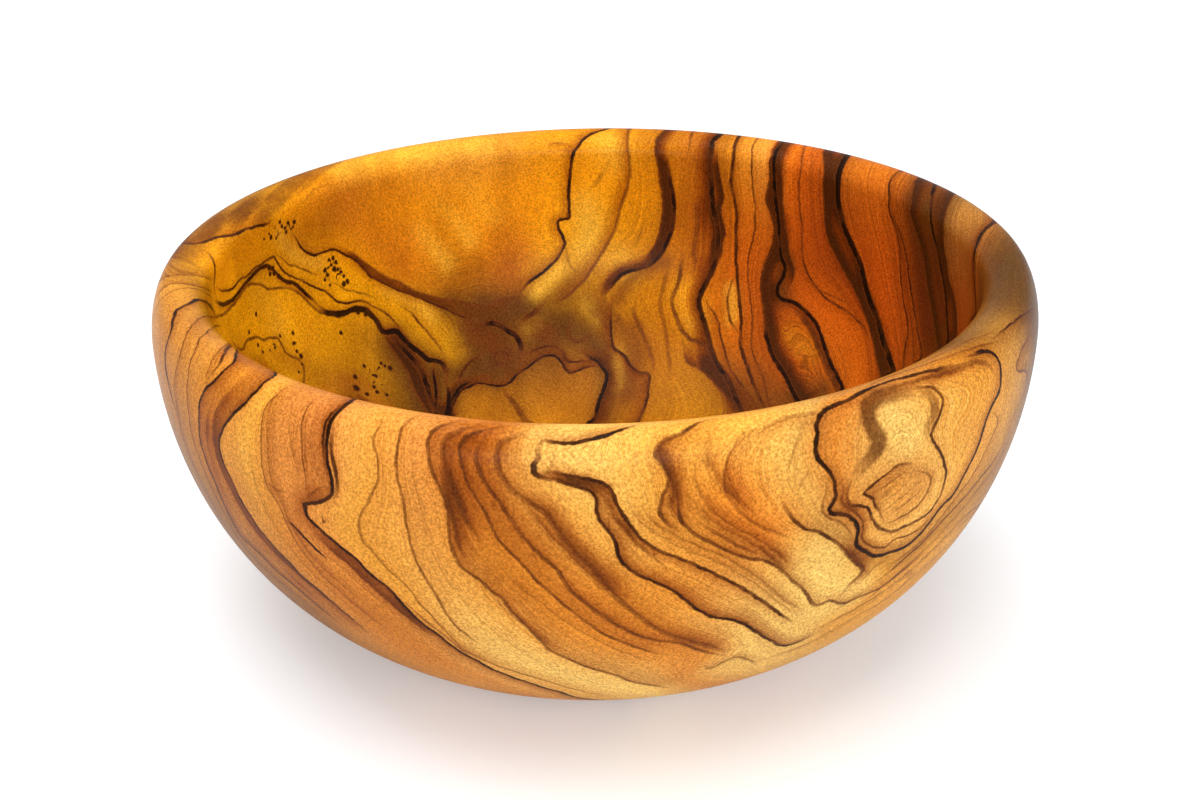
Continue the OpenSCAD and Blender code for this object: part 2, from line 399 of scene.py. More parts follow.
WELL_LINES = [
    # right wall, from the rim down
    (54, 0.3, 0.25, 0, 1, [(1021, 246), (1012, 248), (1005, 254), (1000, 263), (997, 272)]),
    (53, 0.35, 0.25, 0, 1, [(1013, 243), (1005, 247), (1000, 255), (996, 263), (993, 272), (989, 283),
        (986, 295)]),
    (51.5, 0.35, 0.25, 0, 1, [(981, 262), (984, 275), (984, 290), (982, 303), (979, 316)]),
    (50, 0.95, 0.8, -0.5, 2, [(998, 220), (989, 226), (981, 235), (976, 247), (974, 260), (974, 275),
        (975, 290), (976, 305), (976, 320)]),
    (46.5, 0.4, 0.4, -0.95, 2.8, [(953, 197), (948, 207), (944, 222), (944, 245), (947, 262), (949, 278),
        (953, 292), (956, 305), (957, 320), (957, 338)]),
    (44, 0.95, 0.8, 0.3, 1.5, [(934, 187), (932, 197), (931, 208), (931, 220), (933, 232), (936, 243),
        (939, 255), (941, 268), (944, 283), (946, 298), (947, 315), (948, 332), (948, 346)]),
    (43, 0.6, 0.3, 0, 1, [(937, 288), (941, 308), (943, 328), (945, 345)]),
    (41, 0.5, 0.35, 0.95, 3, [(915, 181), (912, 192), (911, 203), (910, 213), (913, 224), (917, 236),
        (921, 248), (924, 262), (926, 277), (928, 292), (931, 308), (934, 325), (936, 342), (938, 352)]),
    (38, 0.8, 0.4, 0, 1, [(892, 214), (897, 225), (901, 235), (904, 246), (906, 257), (908, 268),
        (909, 279), (911, 291), (913, 303), (915, 316), (917, 329), (920, 342), (922, 355), (923, 364)]),
    (36, 0.7, 0.45, 0.25, 1.5, [(902, 171), (895, 174), (891, 180), (889, 188), (889, 198), (889, 208),
        (892, 219), (896, 229), (898, 240), (900, 252), (900, 266), (901, 282), (903, 299), (906, 314),
        (908, 328), (906, 343), (904, 356), (903, 369)]),
    (34, 0.3, 0.3, 0, 1, [(872, 166), (868, 180), (869, 200), (873, 222), (879, 246), (884, 270),
        (889, 296), (894, 322), (898, 348), (900, 366)]),
    (30, 1, 1.3, -0.6, 1.5, [(847, 156), (842, 164), (839, 173), (838, 185), (838, 198), (840, 211),
        (844, 226), (850, 241), (856, 254), (861, 266), (864, 279), (867, 291), (871, 304), (876, 316),
        (880, 328), (883, 340), (887, 351), (891, 363), (896, 377)]),
    (28, 0.7, 0.4, 0, 1, [(840, 156), (835, 163), (834, 175), (836, 190)]),
    (26.5, 0.5, 0.35, 1, 3.4, [(823, 154), (824, 170), (823, 186), (824, 203), (824, 218), (826, 233),
        (831, 246), (837, 259), (843, 270), (849, 281), (855, 292), (860, 303), (865, 315), (869, 328),
        (873, 342), (876, 356), (879, 370), (881, 380)]),
    (25, 0.25, 0.25, 0, 1, [(812, 152), (811, 170), (811, 190), (812, 212), (815, 234), (820, 254),
        (829, 272), (839, 288), (847, 300)]),
    (23, 0.65, 0.4, -0.2, 1.5, [(804, 148), (802, 160), (801, 170), (799, 184), (799, 198), (800, 212),
        (802, 228), (802, 244), (803, 260), (808, 274), (815, 285), (822, 294), (830, 301), (840, 307),
        (849, 313), (857, 320), (864, 327), (869, 338)]),
    (21, 0.4, 0.35, 0, 1, [(800, 272), (810, 283), (821, 291), (832, 296), (843, 301), (852, 308)]),
    (19, 0.5, 0.35, -0.9, 2, [(787, 143), (782, 152), (781, 165), (782, 185), (783, 205), (785, 225),
        (788, 243), (791, 258), (795, 271), (792, 281), (789, 289)]),
    (17.5, 1, 0.8, -0.3, 1.5, [(780, 146), (775, 154), (774, 165), (774, 176), (775, 188), (776, 203),
        (778, 216), (779, 230), (780, 245), (781, 256), (785, 266), (784, 276), (778, 285), (777, 292),
        (781, 299), (789, 301), (797, 304), (804, 310), (811, 317), (817, 325), (821, 336), (825, 348),
        (829, 360), (835, 372), (840, 382), (845, 392)]),
    (16.4, 0.6, 1.2, 0.3, 1.5, [(792, 306), (799, 314), (807, 323), (813, 333), (818, 346), (823, 358),
        (829, 371), (835, 383)]),
    (15.5, 0.7, 0.5, 1, 3.2, [(775, 150), (770, 162), (770, 176), (768, 188), (766, 200), (770, 212),
        (774, 226), (774, 239), (770, 252), (765, 263), (762, 274), (761, 287), (762, 300), (764, 313),
        (766, 325), (768, 338), (770, 349), (775, 360), (781, 369), (786, 379), (792, 390), (797, 399),
        (802, 406)]),
    (15.8, 1, 0.9, 0, 1, [(764, 322), (767, 338), (771, 352), (778, 365), (785, 376), (791, 388),
        (797, 399)]),
    (16, 0.5, 0.4, 0, 1, [(795, 352), (805, 356), (818, 357)]),
    (11.5, 0.6, 0.4, 0.15, 1, [(756, 140), (752, 149), (752, 162), (752, 176), (753, 190), (755, 204),
        (755, 218), (755, 230), (752, 243), (749, 254), (748, 266), (748, 280), (750, 296), (752, 312),
        (752, 328), (751, 342), (753, 354), (758, 367), (763, 379), (766, 391), (769, 404)]),
    (9, 0.75, 0.7, 0.25, 1.5, [(737, 139), (734, 149), (733, 162), (731, 176), (732, 189), (735, 202),
        (737, 216), (736, 230), (736, 245), (736, 260), (737, 273), (738, 285), (739, 300), (741, 315),
        (741, 328), (740, 342), (743, 355), (748, 368), (752, 381), (758, 394), (764, 408)]),
    (8, 0.65, 0.45, 0, 1, [(736, 275), (731, 284), (728, 296), (728, 308), (730, 319), (735, 328),
        (740, 335)]),
    (6, 0.65, 0.45, -0.3, 2, [(706, 299), (709, 307), (715, 314), (719, 324), (720, 335), (724, 347),
        (727, 359), (731, 370), (738, 380), (746, 391), (753, 401), (758, 409)]),
    (5, 0.5, 0.3, -0.9, 2, [(717, 150), (719, 166), (721, 181), (724, 194), (723, 203), (721, 211),
        (723, 222), (726, 231), (723, 242), (722, 254), (718, 264)]),
    (4, 0.85, 1.1, -0.7, 3, [(720, 135), (713, 141), (711, 152), (710, 165), (711, 180), (712, 194),
        (713, 208), (716, 220), (718, 233), (718, 247), (716, 259), (712, 271), (707, 281), (702, 291),
        (699, 300), (700, 310), (704, 321), (707, 333), (710, 345), (714, 357), (720, 368), (727, 378),
        (733, 390), (738, 402), (741, 411)]),
    (2.5, 0.5, 1, 0.3, 2, [(698, 196), (696, 210), (697, 225), (695, 240), (693, 252), (695, 262),
        (692, 272)]),
    (1, 0.55, 0.5, 0.6, 3, [(683, 345), (687, 361), (697, 368), (708, 376), (718, 387), (727, 397),
        (735, 410)]),
    (0, 0.6, 0.8, 0.1, 1, [(684, 255), (681, 266), (680, 278), (676, 289), (672, 299), (673, 308),
        (677, 319), (682, 330), (689, 338), (699, 343), (708, 349), (715, 358)]),
    (-2, 0.4, 0.8, 0, 1, [(668, 262), (666, 275), (663, 288), (660, 300), (661, 311), (665, 325),
        (667, 340), (668, 352), (670, 365), (668, 378)]),
    (-2.5, 0.6, 0.5, 0, 1, [(692, 133), (690, 142), (688, 152)]),
    (-3.5, 0.85, 0.8, -0.75, 2.2, [(668, 160), (669, 175), (672, 190), (674, 204), (674, 217), (672, 230),
        (668, 241), (662, 252), (655, 261), (645, 267), (634, 270), (624, 273), (616, 280), (609, 289),
        (602, 297)]),
    (-5, 0.6, 0.5, 0.8, 2.4, [(664, 131), (658, 137), (655, 146), (656, 158), (659, 172), (661, 185),
        (663, 197), (663, 209), (661, 221), (659, 233), (655, 245), (648, 255)]),
    (-6, 0.75, 0.6, -0.5, 2.2, [(613, 300), (611, 315), (611, 330), (612, 340), (614, 348), (620, 352),
        (626, 358), (630, 365), (635, 370), (641, 373), (647, 373), (650, 379), (648, 388), (648, 396),
        (645, 406), (641, 416), (638, 423)]),
    (-4, 0.5, 0.8, 0.1, 1, [(636, 300), (634, 312), (637, 322), (642, 332), (646, 342), (650, 352),
        (653, 362), (652, 372)]),
    (-9, 0.5, 0.6, -0.45, 2.5, [(628, 133), (628, 148), (630, 163), (630, 177), (627, 190), (622, 204),
        (618, 217), (615, 229), (609, 241), (602, 254), (594, 266), (586, 278), (576, 289), (565, 298),
        (552, 305)]),
    (-7, 0.7, 0.5, 0, 1, [(643, 225), (641, 232), (638, 240), (636, 244)]),
    (-7.5, 0.6, 1, 0.2, 1.5, [(621, 268), (612, 277), (604, 287), (600, 296)]),
    (-11, 0.4, 1, 0, 1, [(608, 164), (603, 173), (597, 182), (590, 189)]),
    (-14, 0.85, 0.6, -0.4, 1.8, [(604, 130), (594, 133), (585, 138), (579, 145), (573, 154), (571, 165),
        (570, 178), (569, 192), (569, 206), (569, 218), (561, 219), (557, 224), (561, 233), (565, 242),
        (562, 251), (557, 259), (550, 266), (542, 273), (534, 279), (527, 284), (522, 291), (518, 296)]),
    (-12, 0.45, 0.6, 0, 1, [(566, 246), (567, 258), (572, 268), (578, 272)]),
    (-13, 0.45, 0.5, -0.4, 1.5, [(545, 146), (553, 143), (562, 143), (570, 145)]),
    (-11, 0.7, 1.1, 0.2, 1.5, [(546, 300), (540, 307), (532, 314), (524, 320), (517, 325)]),
    (-12, 0.55, 1, 0, 1, [(525, 334), (535, 332), (543, 329), (550, 326)]),
    (-10, 0.6, 0.8, 0.1, 1, [(572, 320), (568, 328), (570, 337), (577, 342), (586, 338), (594, 334)]),
    # the dark fork under the middle of the well
    (-12, 1, 0.8, 0.7, 2.6, [(582, 352), (590, 357), (598, 362), (604, 369), (607, 376), (605, 386),
        (601, 395), (598, 404), (597, 412), (594, 419), (588, 424)]),
    (-14, 0.7, 0.5, 0.2, 1, [(520, 357), (530, 352), (540, 348), (550, 346), (558, 348), (563, 354),
        (567, 361), (575, 362), (585, 361), (595, 362)]),
    (-16, 0.85, 0.5, 0.5, 2, [(452, 408), (456, 398), (461, 391), (468, 387), (478, 383), (490, 385),
        (500, 386), (508, 384), (515, 376), (524, 370), (533, 363), (542, 357), (549, 355), (556, 357),
        (562, 362), (565, 369), (570, 373), (577, 371), (585, 368), (594, 366), (602, 368)]),
    (-18, 0.6, 1.2, 0, 1, [(502, 388), (508, 396), (515, 404), (520, 412), (524, 419), (527, 424)]),
    (-20, 0.9, 1.2, 0.2, 1.5, [(477, 330), (484, 325), (492, 323), (500, 326), (508, 331), (516, 336),
        (520, 343), (521, 352), (518, 358)]),
    (-21, 0.75, 1.2, 0.1, 1.5, [(463, 345), (470, 342), (478, 346)]),
    (-19, 0.7, 0.5, 0, 1, [(494, 358), (498, 352), (505, 352), (509, 358), (505, 364), (498, 364),
        (494, 358)]),
    (-21.5, 0.55, 4, 0, 1, [(458, 322), (476, 330), (492, 343), (506, 356), (500, 368)]),
    (-14.5, 0.6, 4, 0, 1, [(520, 332), (535, 328), (548, 334), (560, 342)]),
    (-9.5, 0.45, 4, 0, 1, [(584, 298), (598, 308), (612, 322), (618, 338)]),
    (-20, 1, 1.6, 0, 1, [(479, 380), (485, 377), (491, 375)]),
    (-24, 0.75, 0.6, 0.2, 1.5, [(458, 392), (459, 380), (464, 369), (471, 362), (478, 357), (485, 350)]),
    (-23, 0.9, 0.7, 0.2, 1.5, [(447, 416), (450, 404), (455, 394), (461, 387), (470, 382), (479, 378)]),
    # left: the outlines round the burl
    (-24, 0.5, 0.6, -0.4, 2.2, [(345, 250), (355, 255), (363, 262), (375, 270), (388, 278), (400, 282),
        (412, 290), (425, 294), (437, 298), (450, 300), (462, 302), (480, 306), (492, 305), (503, 299),
        (512, 297), (519, 296)]),
    (-26, 0.8, 0.45, 0.3, 1.4, [(292, 233), (296, 240), (301, 247), (308, 253), (315, 255), (322, 253),
        (330, 250), (338, 251), (344, 254), (352, 258), (359, 264), (364, 270), (371, 277), (380, 281),
        (390, 286), (400, 291), (410, 294), (420, 298), (429, 302), (438, 306), (447, 310), (455, 314),
        (463, 317), (472, 318), (480, 317)]),
    (-31, 0.5, 0.4, 0.1, 1, [(276, 253), (283, 259), (290, 265), (296, 266), (303, 269), (312, 273),
        (320, 275)]),
    (-30, 0.5, 0.4, 0.1, 1, [(331, 281), (338, 285), (346, 290), (355, 292), (368, 295), (378, 300)]),
    (-34, 0.7, 0.45, 0.1, 1, [(217, 288), (222, 291), (229, 290), (235, 286), (240, 280), (247, 276),
        (253, 270), (258, 266), (264, 262), (270, 258), (274, 257), (277, 262), (281, 268), (286, 273),
        (293, 277), (300, 280), (310, 285), (322, 290), (330, 295), (336, 301), (345, 303), (355, 302),
        (362, 301), (372, 306), (380, 310), (388, 315), (395, 322), (402, 331)]),
    (-38, 0.9, 0.75, -0.3, 1.2, [(215, 301), (221, 304), (228, 303), (233, 299), (239, 292), (244, 285),
        (250, 278), (256, 272), (262, 267), (268, 266), (273, 270), (278, 276), (285, 281), (293, 283),
        (300, 288), (307, 295), (313, 300), (318, 306)]),
    (-40, 0.6, 0.5, 0, 1, [(286, 288), (293, 290), (300, 294), (306, 300), (312, 306), (318, 311),
        (326, 314), (335, 316)]),
    (-42, 0.6, 0.5, 0, 1, [(216, 317), (225, 313), (232, 306), (238, 298), (243, 291), (248, 285),
        (255, 284), (262, 285), (268, 289), (277, 288), (285, 288), (292, 288)]),
    (-38.5, 1, 1.1, 0.3, 1.5, [(318, 306), (325, 312), (334, 314), (344, 313), (352, 310), (358, 309),
        (366, 310), (372, 316), (378, 323), (382, 331), (390, 332), (397, 331), (403, 338), (411, 346),
        (420, 353), (427, 359), (436, 361), (442, 363), (446, 371), (446, 382)]),
    (-42, 0.6, 0.5, 1, 3.8, [(383, 334), (388, 343), (395, 353), (402, 363), (408, 373), (412, 384),
        (417, 395), (423, 405), (428, 413)]),
    (-40, 0.85, 1.2, 0.2, 1.5, [(384, 330), (392, 338), (400, 346), (409, 355), (417, 365), (424, 377),
        (428, 390), (432, 403), (436, 415)]),
    (-36, 0.9, 0.7, 0.2, 1.5, [(434, 361), (434, 375), (436, 390), (436, 403), (435, 415)]),
    (-33, 1, 0.9, 0.2, 1.5, [(446, 380), (449, 393), (448, 405), (446, 417)]),
    (-31, 0.6, 0.5, 0.2, 2, [(400, 305), (412, 314), (420, 324), (430, 335), (438, 345), (444, 356)]),
    (-52, 0.6, 0.5, 0, 1, [(243, 349), (247, 341), (252, 338), (258, 337), (264, 340), (270, 338),
        (277, 338), (281, 343), (284, 350), (288, 355), (296, 358), (301, 362), (304, 368), (304, 379)]),
    (-27, 0.5, 3, 0, 1, [(302, 176), (290, 186), (277, 198), (264, 210), (252, 219)]),
    (-28.5, 0.55, 3, 0, 1, [(264, 194), (252, 204), (240, 214), (228, 225)]),
    (-30, 0.5, 2.6, 0, 1, [(228, 210), (216, 222), (205, 235), (196, 242)]),
    (-25, 0.4, 2, 0, 1, [(326, 167), (315, 174), (303, 184), (294, 193)]),
    (-22, 0.3, 0.3, 0, 1, [(298, 206), (305, 200), (312, 192), (320, 187), (335, 184)]),
    # the left rim
    (-28, 0.8, 0.55, 0.35, 2, [(181, 243), (190, 244), (200, 243), (209, 240), (218, 237), (227, 236),
        (234, 235), (242, 231), (250, 228), (258, 226), (266, 224), (273, 220)]),
    (-34, 0.4, 0.3, 0, 1, [(173, 257), (182, 258), (191, 262), (200, 270)]),
    (-33, 0.7, 0.8, 0, 1, [(204, 250), (210, 255), (214, 262), (215, 272), (214, 285), (216, 295)]),
    (-38, 0.5, 0.35, 0.3, 1.5, [(162, 290), (170, 284), (185, 284), (200, 287), (212, 292)]),
    (-40.5, 0.45, 0.3, 0, 1, [(163, 297), (175, 290), (190, 288), (203, 291), (213, 298)]),
    (-36, 0.4, 0.5, 0.3, 2, [(165, 277), (180, 275), (200, 276), (213, 280)]),
]

# Colours of the wood, as sRGB values, and where each lies on the faces in view. The dark rim tone is partly
# painted shade.
TONES = {
    "pale": (252, 206, 112),
    "cream": (248, 178, 78),
    "straw": (240, 164, 54),
    "honey": (232, 144, 38),
    "tan": (216, 142, 58),
    "amber": (236, 142, 14),
    "gold": (252, 176, 14),
    "orange": (240, 124, 18),
    "redwood": (222, 98, 20),
    "russet": (182, 94, 22),
    "maroon": (100, 42, 16),
    "umber": (116, 58, 18),
    # The dark tone laid along the rims is partly the rims' own brown and partly painted shade.
    "rim_brown_and_shade": (96, 60, 16),
    "butter": (255, 196, 62),
    "night": (70, 26, 10),
    "rose": (226, 138, 66),
    "marigold": (252, 160, 16),
    "copper": (214, 128, 42),
    "ochre": (196, 122, 22),
    "smoke": (92, 54, 20),
    "olive": (150, 94, 24),
}

OUTSIDE_TONES = [
    ("tan", [(185, 380), (175, 330), (290, 440), (260, 530)]),
    ("copper", [(225, 405), (215, 440), (330, 590), (300, 560), (380, 610), (500, 520), (530, 560),
        (560, 590), (600, 600), (650, 630), (445, 520), (700, 575)]),
    ("russet", [(868, 420), (875, 445), (1015, 335), (1000, 345), (450, 460), (475, 480), (500, 460)]),
    ("honey", [(300, 470), (240, 380), (480, 560), (520, 610), (600, 560), (640, 600), (735, 500),
        (750, 540)]),
    ("olive", [(240, 545), (270, 590), (200, 490), (975, 322)]),
    # Partly painted shade: the dark rim tone along the rims stands for shade as well as brown wood.
    ("rim_brown_and_shade", [(1018, 262), (1030, 275), (1036, 290), (1038, 305), (1034, 320), (1022, 300), (1010, 300),
        (1000, 312), (990, 325), (1005, 285), (1015, 278), (980, 333), (1025, 312), (1012, 316), (998, 298),
        (1008, 256), (245, 215), (240, 230), (228, 222), (262, 203), (212, 240)]),
    ("cream", [(240, 460), (420, 500), (430, 560), (480, 600), (350, 450), (560, 500), (590, 530),
        (700, 500), (960, 450), (1010, 380)]),
    ("straw", [(345, 520), (390, 480), (640, 480), (760, 460), (900, 570), (860, 440), (200, 290),
        (225, 215), (250, 430), (680, 450)]),
    ("pale", [(575, 457), (500, 640), (560, 670), (640, 690), (750, 640), (800, 600), (820, 560),
        (905, 420), (900, 440), (780, 450), (912, 410), (895, 455), (925, 470)]),
    ("amber", [(970, 390), (950, 385), (890, 498)]),
    ("orange", [(850, 410)]),
    ("umber", [(190, 255), (205, 262)]),
    ("rose", [(290, 440), (300, 425), (312, 450), (288, 470), (410, 460), (420, 440), (405, 490),
        (350, 430)]),
]

WELL_TONES = [
    ("gold", [(280, 320), (320, 350), (260, 300), (350, 320), (430, 320), (540, 283), (590, 220),
        (600, 240), (322, 262), (440, 330), (400, 325), (230, 300), (345, 262), (300, 262), (425, 335),
        (555, 275), (600, 190), (585, 250), (610, 345), (685, 395), (640, 300)]),
    ("ochre", [(340, 380), (300, 365), (550, 390), (480, 400), (530, 400), (670, 400), (700, 400),
        (690, 350), (575, 400), (380, 350), (620, 410)]),
    # Partly painted shade: the dark rim tone at the right rim's inner edge.
    ("rim_brown_and_shade", [(936, 206), (946, 216), (985, 245)]),
    ("marigold", [(230, 270), (400, 200), (450, 220), (520, 180), (640, 180), (745, 180), (600, 160),
        (690, 300), (480, 250), (420, 240), (370, 215), (540, 210), (640, 210), (640, 250)]),
    ("amber", [(330, 200), (320, 225), (300, 240), (420, 275), (460, 285), (380, 250)]),
    ("cream", [(380, 165), (480, 150), (760, 155), (960, 215)]),
    ("honey", [(620, 140), (860, 170), (700, 145)]),
    ("orange", [(500, 260), (690, 180), (760, 220), (730, 330), (850, 350), (640, 340), (790, 150),
        (700, 250)]),
    ("redwood", [(800, 200), (820, 220), (870, 250), (880, 300), (860, 200), (960, 280), (850, 320),
        (760, 260), (745, 240), (800, 330)]),
    ("maroon", [(832, 215), (832, 240), (935, 260), (925, 300), (880, 350), (770, 270), (765, 300),
        (955, 310), (925, 215), (940, 240), (845, 270)]),
    ("smoke", [(470, 350), (430, 380), (420, 400), (500, 340), (480, 305), (445, 395), (815, 390),
        (725, 385), (755, 395), (620, 330), (455, 365), (440, 400), (520, 325), (540, 320), (600, 320),
        (510, 365), (470, 325), (400, 360), (425, 380), (455, 322), (482, 340), (490, 352), (525, 345),
        (545, 333), (560, 328), (482, 368), (462, 378), (495, 318), (528, 306), (548, 312), (566, 302),
        (582, 312), (470, 308), (452, 308), (415, 372), (436, 372), (408, 380)]),
    ("umber", [(610, 385), (614, 410), (628, 285), (665, 170), (712, 170), (708, 230), (665, 230),
        (560, 345), (590, 340), (665, 350), (710, 270), (660, 390)]),
]

# How far a tone carries, in millimetres: across the grain, along it and far off. Each corner gets two tones,
# from a little below and a little above its own grain height.
TONE_ACROSS = 2.0
TONE_ACROSS_SHARE = 0.02
TONE_ALONG = 8
TONE_FAR = 45
TONE_FAR_SHARE = 0.02
TONE_SHIFT = 2.2
TONE_OTHER_FACE = 0.004
TONE_FLOOR = 1e-7
TONE_CHUNKS = 60

# Small patches of their own colour, the dark rim ones partly painted shade: tone, radius in millimetres, share,
# True in the well, and the run
PATCHES = [
    ("butter", 2.3, 0.85, True, [(584, 203), (588, 218), (590, 232), (586, 246)]),
    ("butter", 1.1, 0.6, True, [(564, 266), (554, 275), (545, 284), (536, 293)]),
    ("butter", 1.2, 0.6, True, [(531, 328), (537, 324)]),
    ("butter", 1.1, 0.4, True, [(588, 305), (594, 312), (598, 318)]),
    ("butter", 1.2, 0.8, True, [(617, 356), (617, 370), (614, 384)]),
    ("butter", 2.2, 0.6, True, [(608, 142), (614, 152), (616, 162)]),
    ("butter", 1.5, 0.5, True, [(418, 228), (428, 240), (438, 252), (446, 262)]),
    ("butter", 1.4, 0.5, True, [(440, 205), (452, 215), (462, 228), (470, 240)]),
    ("butter", 1.8, 0.4, True, [(470, 190), (482, 205), (494, 214)]),
    ("butter", 1.8, 0.55, True, [(340, 170), (370, 160), (405, 152), (440, 146), (480, 141)]),
    ("butter", 1.1, 0.35, True, [(385, 288), (402, 294), (417, 303), (430, 316)]),
    ("butter", 1.1, 0.5, True, [(280, 236), (290, 250), (305, 260), (320, 263)]),
    ("butter", 2.2, 0.4, True, [(258, 298), (268, 310), (276, 322)]),
    ("butter", 1.8, 0.5, True, [(684, 292), (690, 305), (696, 318)]),
    ("butter", 1.1, 0.5, True, [(731, 290), (733, 305), (732, 318)]),
    ("butter", 2, 0.45, True, [(620, 258), (628, 270)]),
    ("russet", 4, 0.6, True, [(348, 205), (366, 222), (384, 240), (400, 256)]),
    ("russet", 3, 0.5, True, [(505, 235), (515, 250), (508, 265)]),
    ("russet", 3, 0.45, True, [(392, 190), (404, 208), (412, 222)]),
    ("smoke", 2.6, 0.85, True, [(478, 330), (490, 340), (500, 350), (508, 360)]),
    ("smoke", 2, 0.75, True, [(450, 306), (468, 312), (486, 316), (504, 318), (520, 312)]),
    ("smoke", 1.8, 0.75, True, [(455, 374), (468, 372), (480, 366), (492, 378)]),
    ("smoke", 2.2, 0.75, True, [(540, 338), (556, 332), (572, 330), (588, 338), (600, 350)]),
    ("smoke", 1.6, 0.8, True, [(606, 360), (609, 380), (606, 400), (603, 418)]),
    ("umber", 1.9, 0.7, True, [(632, 330), (635, 350), (633, 370), (629, 395)]),
    ("smoke", 2.3, 0.75, True, [(395, 345), (408, 362), (418, 380), (424, 398), (428, 412)]),
    ("smoke", 1.9, 0.75, True, [(437, 372), (437, 390), (438, 408)]),
    ("smoke", 1.6, 0.8, True, [(785, 262), (781, 280), (783, 298)]),
    ("smoke", 2.2, 0.75, True, [(798, 392), (812, 396), (822, 392)]),
    ("ochre", 2, 0.6, True, [(790, 335), (802, 345), (812, 350)]),
    ("night", 2.2, 0.5, True, [(938, 205), (937, 225), (938, 250), (941, 275), (945, 300), (947, 320)]),
    # Partly painted shade on the right rim, in the dark rim tone.
    ("rim_brown_and_shade", 1.6, 0.5, True, [(930, 208), (938, 222)]),
    ("gold", 4, 0.6, True, [(238, 288), (250, 298), (262, 306)]),
    ("umber", 3, 0.4, True, [(294, 358), (304, 368), (336, 377), (346, 385)]),
    ("umber", 3, 0.35, True, [(298, 238), (310, 233), (324, 228)]),
    ("marigold", 4, 0.5, True, [(392, 192), (404, 206), (640, 176), (636, 190)]),
    ("marigold", 2, 0.6, True, [(688, 292), (692, 306)]),
    ("umber", 1.1, 0.65, True, [(664, 262), (648, 268), (634, 277), (624, 289), (617, 301)]),
    ("smoke", 1.6, 0.6, True, [(482, 300), (500, 302), (518, 304), (534, 310), (548, 318), (566, 320)]),
    # Partly painted shade down the outer face of the right rim, in the dark rim tone.
    ("rim_brown_and_shade", 2.4, 0.65, False, [(1030, 268), (1028, 285), (1020, 302), (1005, 314), (988, 326), (968, 338),
        (944, 346)]),
    # Partly painted shade on the right rim's inner face, in the dark rim tone.
    ("rim_brown_and_shade", 2, 0.5, True, [(1008, 258), (1006, 275), (1000, 292), (990, 308)]),
    ("orange", 3.5, 0.55, False, [(735, 496), (748, 512), (764, 528)]),
    ("cream", 3, 0.5, False, [(552, 492), (566, 508), (582, 528), (600, 550)]),
    ("cream", 5, 0.5, False, [(1012, 360), (1014, 385), (1004, 410)]),
    ("russet", 2.2, 0.35, False, [(664, 470), (670, 490), (678, 510)]),
    ("pale", 2.2, 0.6, False, [(818, 552), (826, 566)]),
    ("russet", 2.4, 0.5, False, [(872, 496), (882, 487), (894, 480), (908, 474), (920, 482), (916, 494),
        (902, 504)]),
    ("pale", 2, 0.6, False, [(888, 410), (896, 424), (908, 436)]),
]

# Dark burl eyes in the well, by radius in millimetres
BURL_EYES = [
    (0.32, [(291, 229), (293, 227), (269, 234), (276, 238), (275, 348), (274, 344), (302, 364), (299, 372),
        (385, 366), (373, 375), (264, 239), (258, 345), (263, 352), (270, 350), (348, 283)]),
    (0.45, [(280, 222), (282, 226), (285, 228), (288, 223), (294, 222), (286, 232), (271, 237), (266, 266),
        (269, 268), (273, 268), (274, 273), (279, 276), (270, 274), (329, 260), (333, 258), (336, 262),
        (331, 265), (338, 269), (341, 272), (344, 276), (347, 281), (325, 270), (328, 275), (325, 280),
        (330, 285), (256, 314), (249, 332), (280, 336), (293, 333), (297, 351), (364, 366), (376, 376),
        (381, 363), (374, 387), (377, 392), (387, 395), (367, 394), (341, 333)]),
    (0.62, [(334, 269), (294, 344), (301, 356), (355, 377), (390, 368), (344, 284), (358, 312),
        (366, 314)]),
    (0.85, [(356, 388)]),
]
EYE_SETS = 8
EYE_GAP = 2.6
EYE_FAR = (0, 0, 50)

# The left of the well is plain wood, whose rings hardly show. It gives way to the rest from X = -8 on.
PLAIN_X = -8
PLAIN_BLEND = 22
PLAIN_RINGS = 0.12

# How a traced row becomes a line on the bowl. Steps and reaches are millimetres, the curve's step is pixels.
CURVE_STEP = 1.6
LINE_STEP = 0.35
LINE_REACH = 6
WELL_MIDDLE = (600, 290)
OUTSIDE_MIDDLE = (600, 500)
NUDGES = 30
NEAR_SIDE = -0.3 * OUTER_R
EDGE_PIXELS = 12
TIP_PIXELS = 6

# The grain height's fit
GRAIN_STEP = 6
GRAIN_SOFTNESS = 3
GRAIN_SMOOTHING = 1.2
CHUNK = 2000

# Lines run on round the sides that the photograph hides
RUN_ON_STEP = 1.4
RUN_ON_LENGTH = 110
RUN_ON_CLEAR = 4
TIP_POINTS = 12
GRAIN_PULL = 0.35
HIDDEN_DEPTH = 0.8

# Lines are shared out over groups, and each group keeps one nearest line at a corner of the mesh
GROUPS = 12
THINNING = 6
TOUCHING = 0.3
FAR_OFF = 99.0
NO_LINE = (LINE_REACH, 0, 0.3, 0, 1.0)
TAPER_START = 0.5
TAPER_RUN = 4
TAPER_POWER = 0.7
END_FADE = 1.2
END_WIDTH = 0.55
CLEAR_GAP = 1.6
CLEAR_BLEND = 1.2
INK_REACH = 3.6
BAND_REACH = 1.25
BAND_MARGIN = 1.5


def linear(colour):
    """A colour's sRGB values as linear ones."""
    part = np.array(colour) / 255
    return np.where(part <= 0.04045, part / 12.92, ((part + 0.055) / 1.055) ** 2.4)


def unit(vectors):
    return vectors / np.maximum(np.linalg.norm(vectors, axis=-1, keepdims=True), 1e-9)


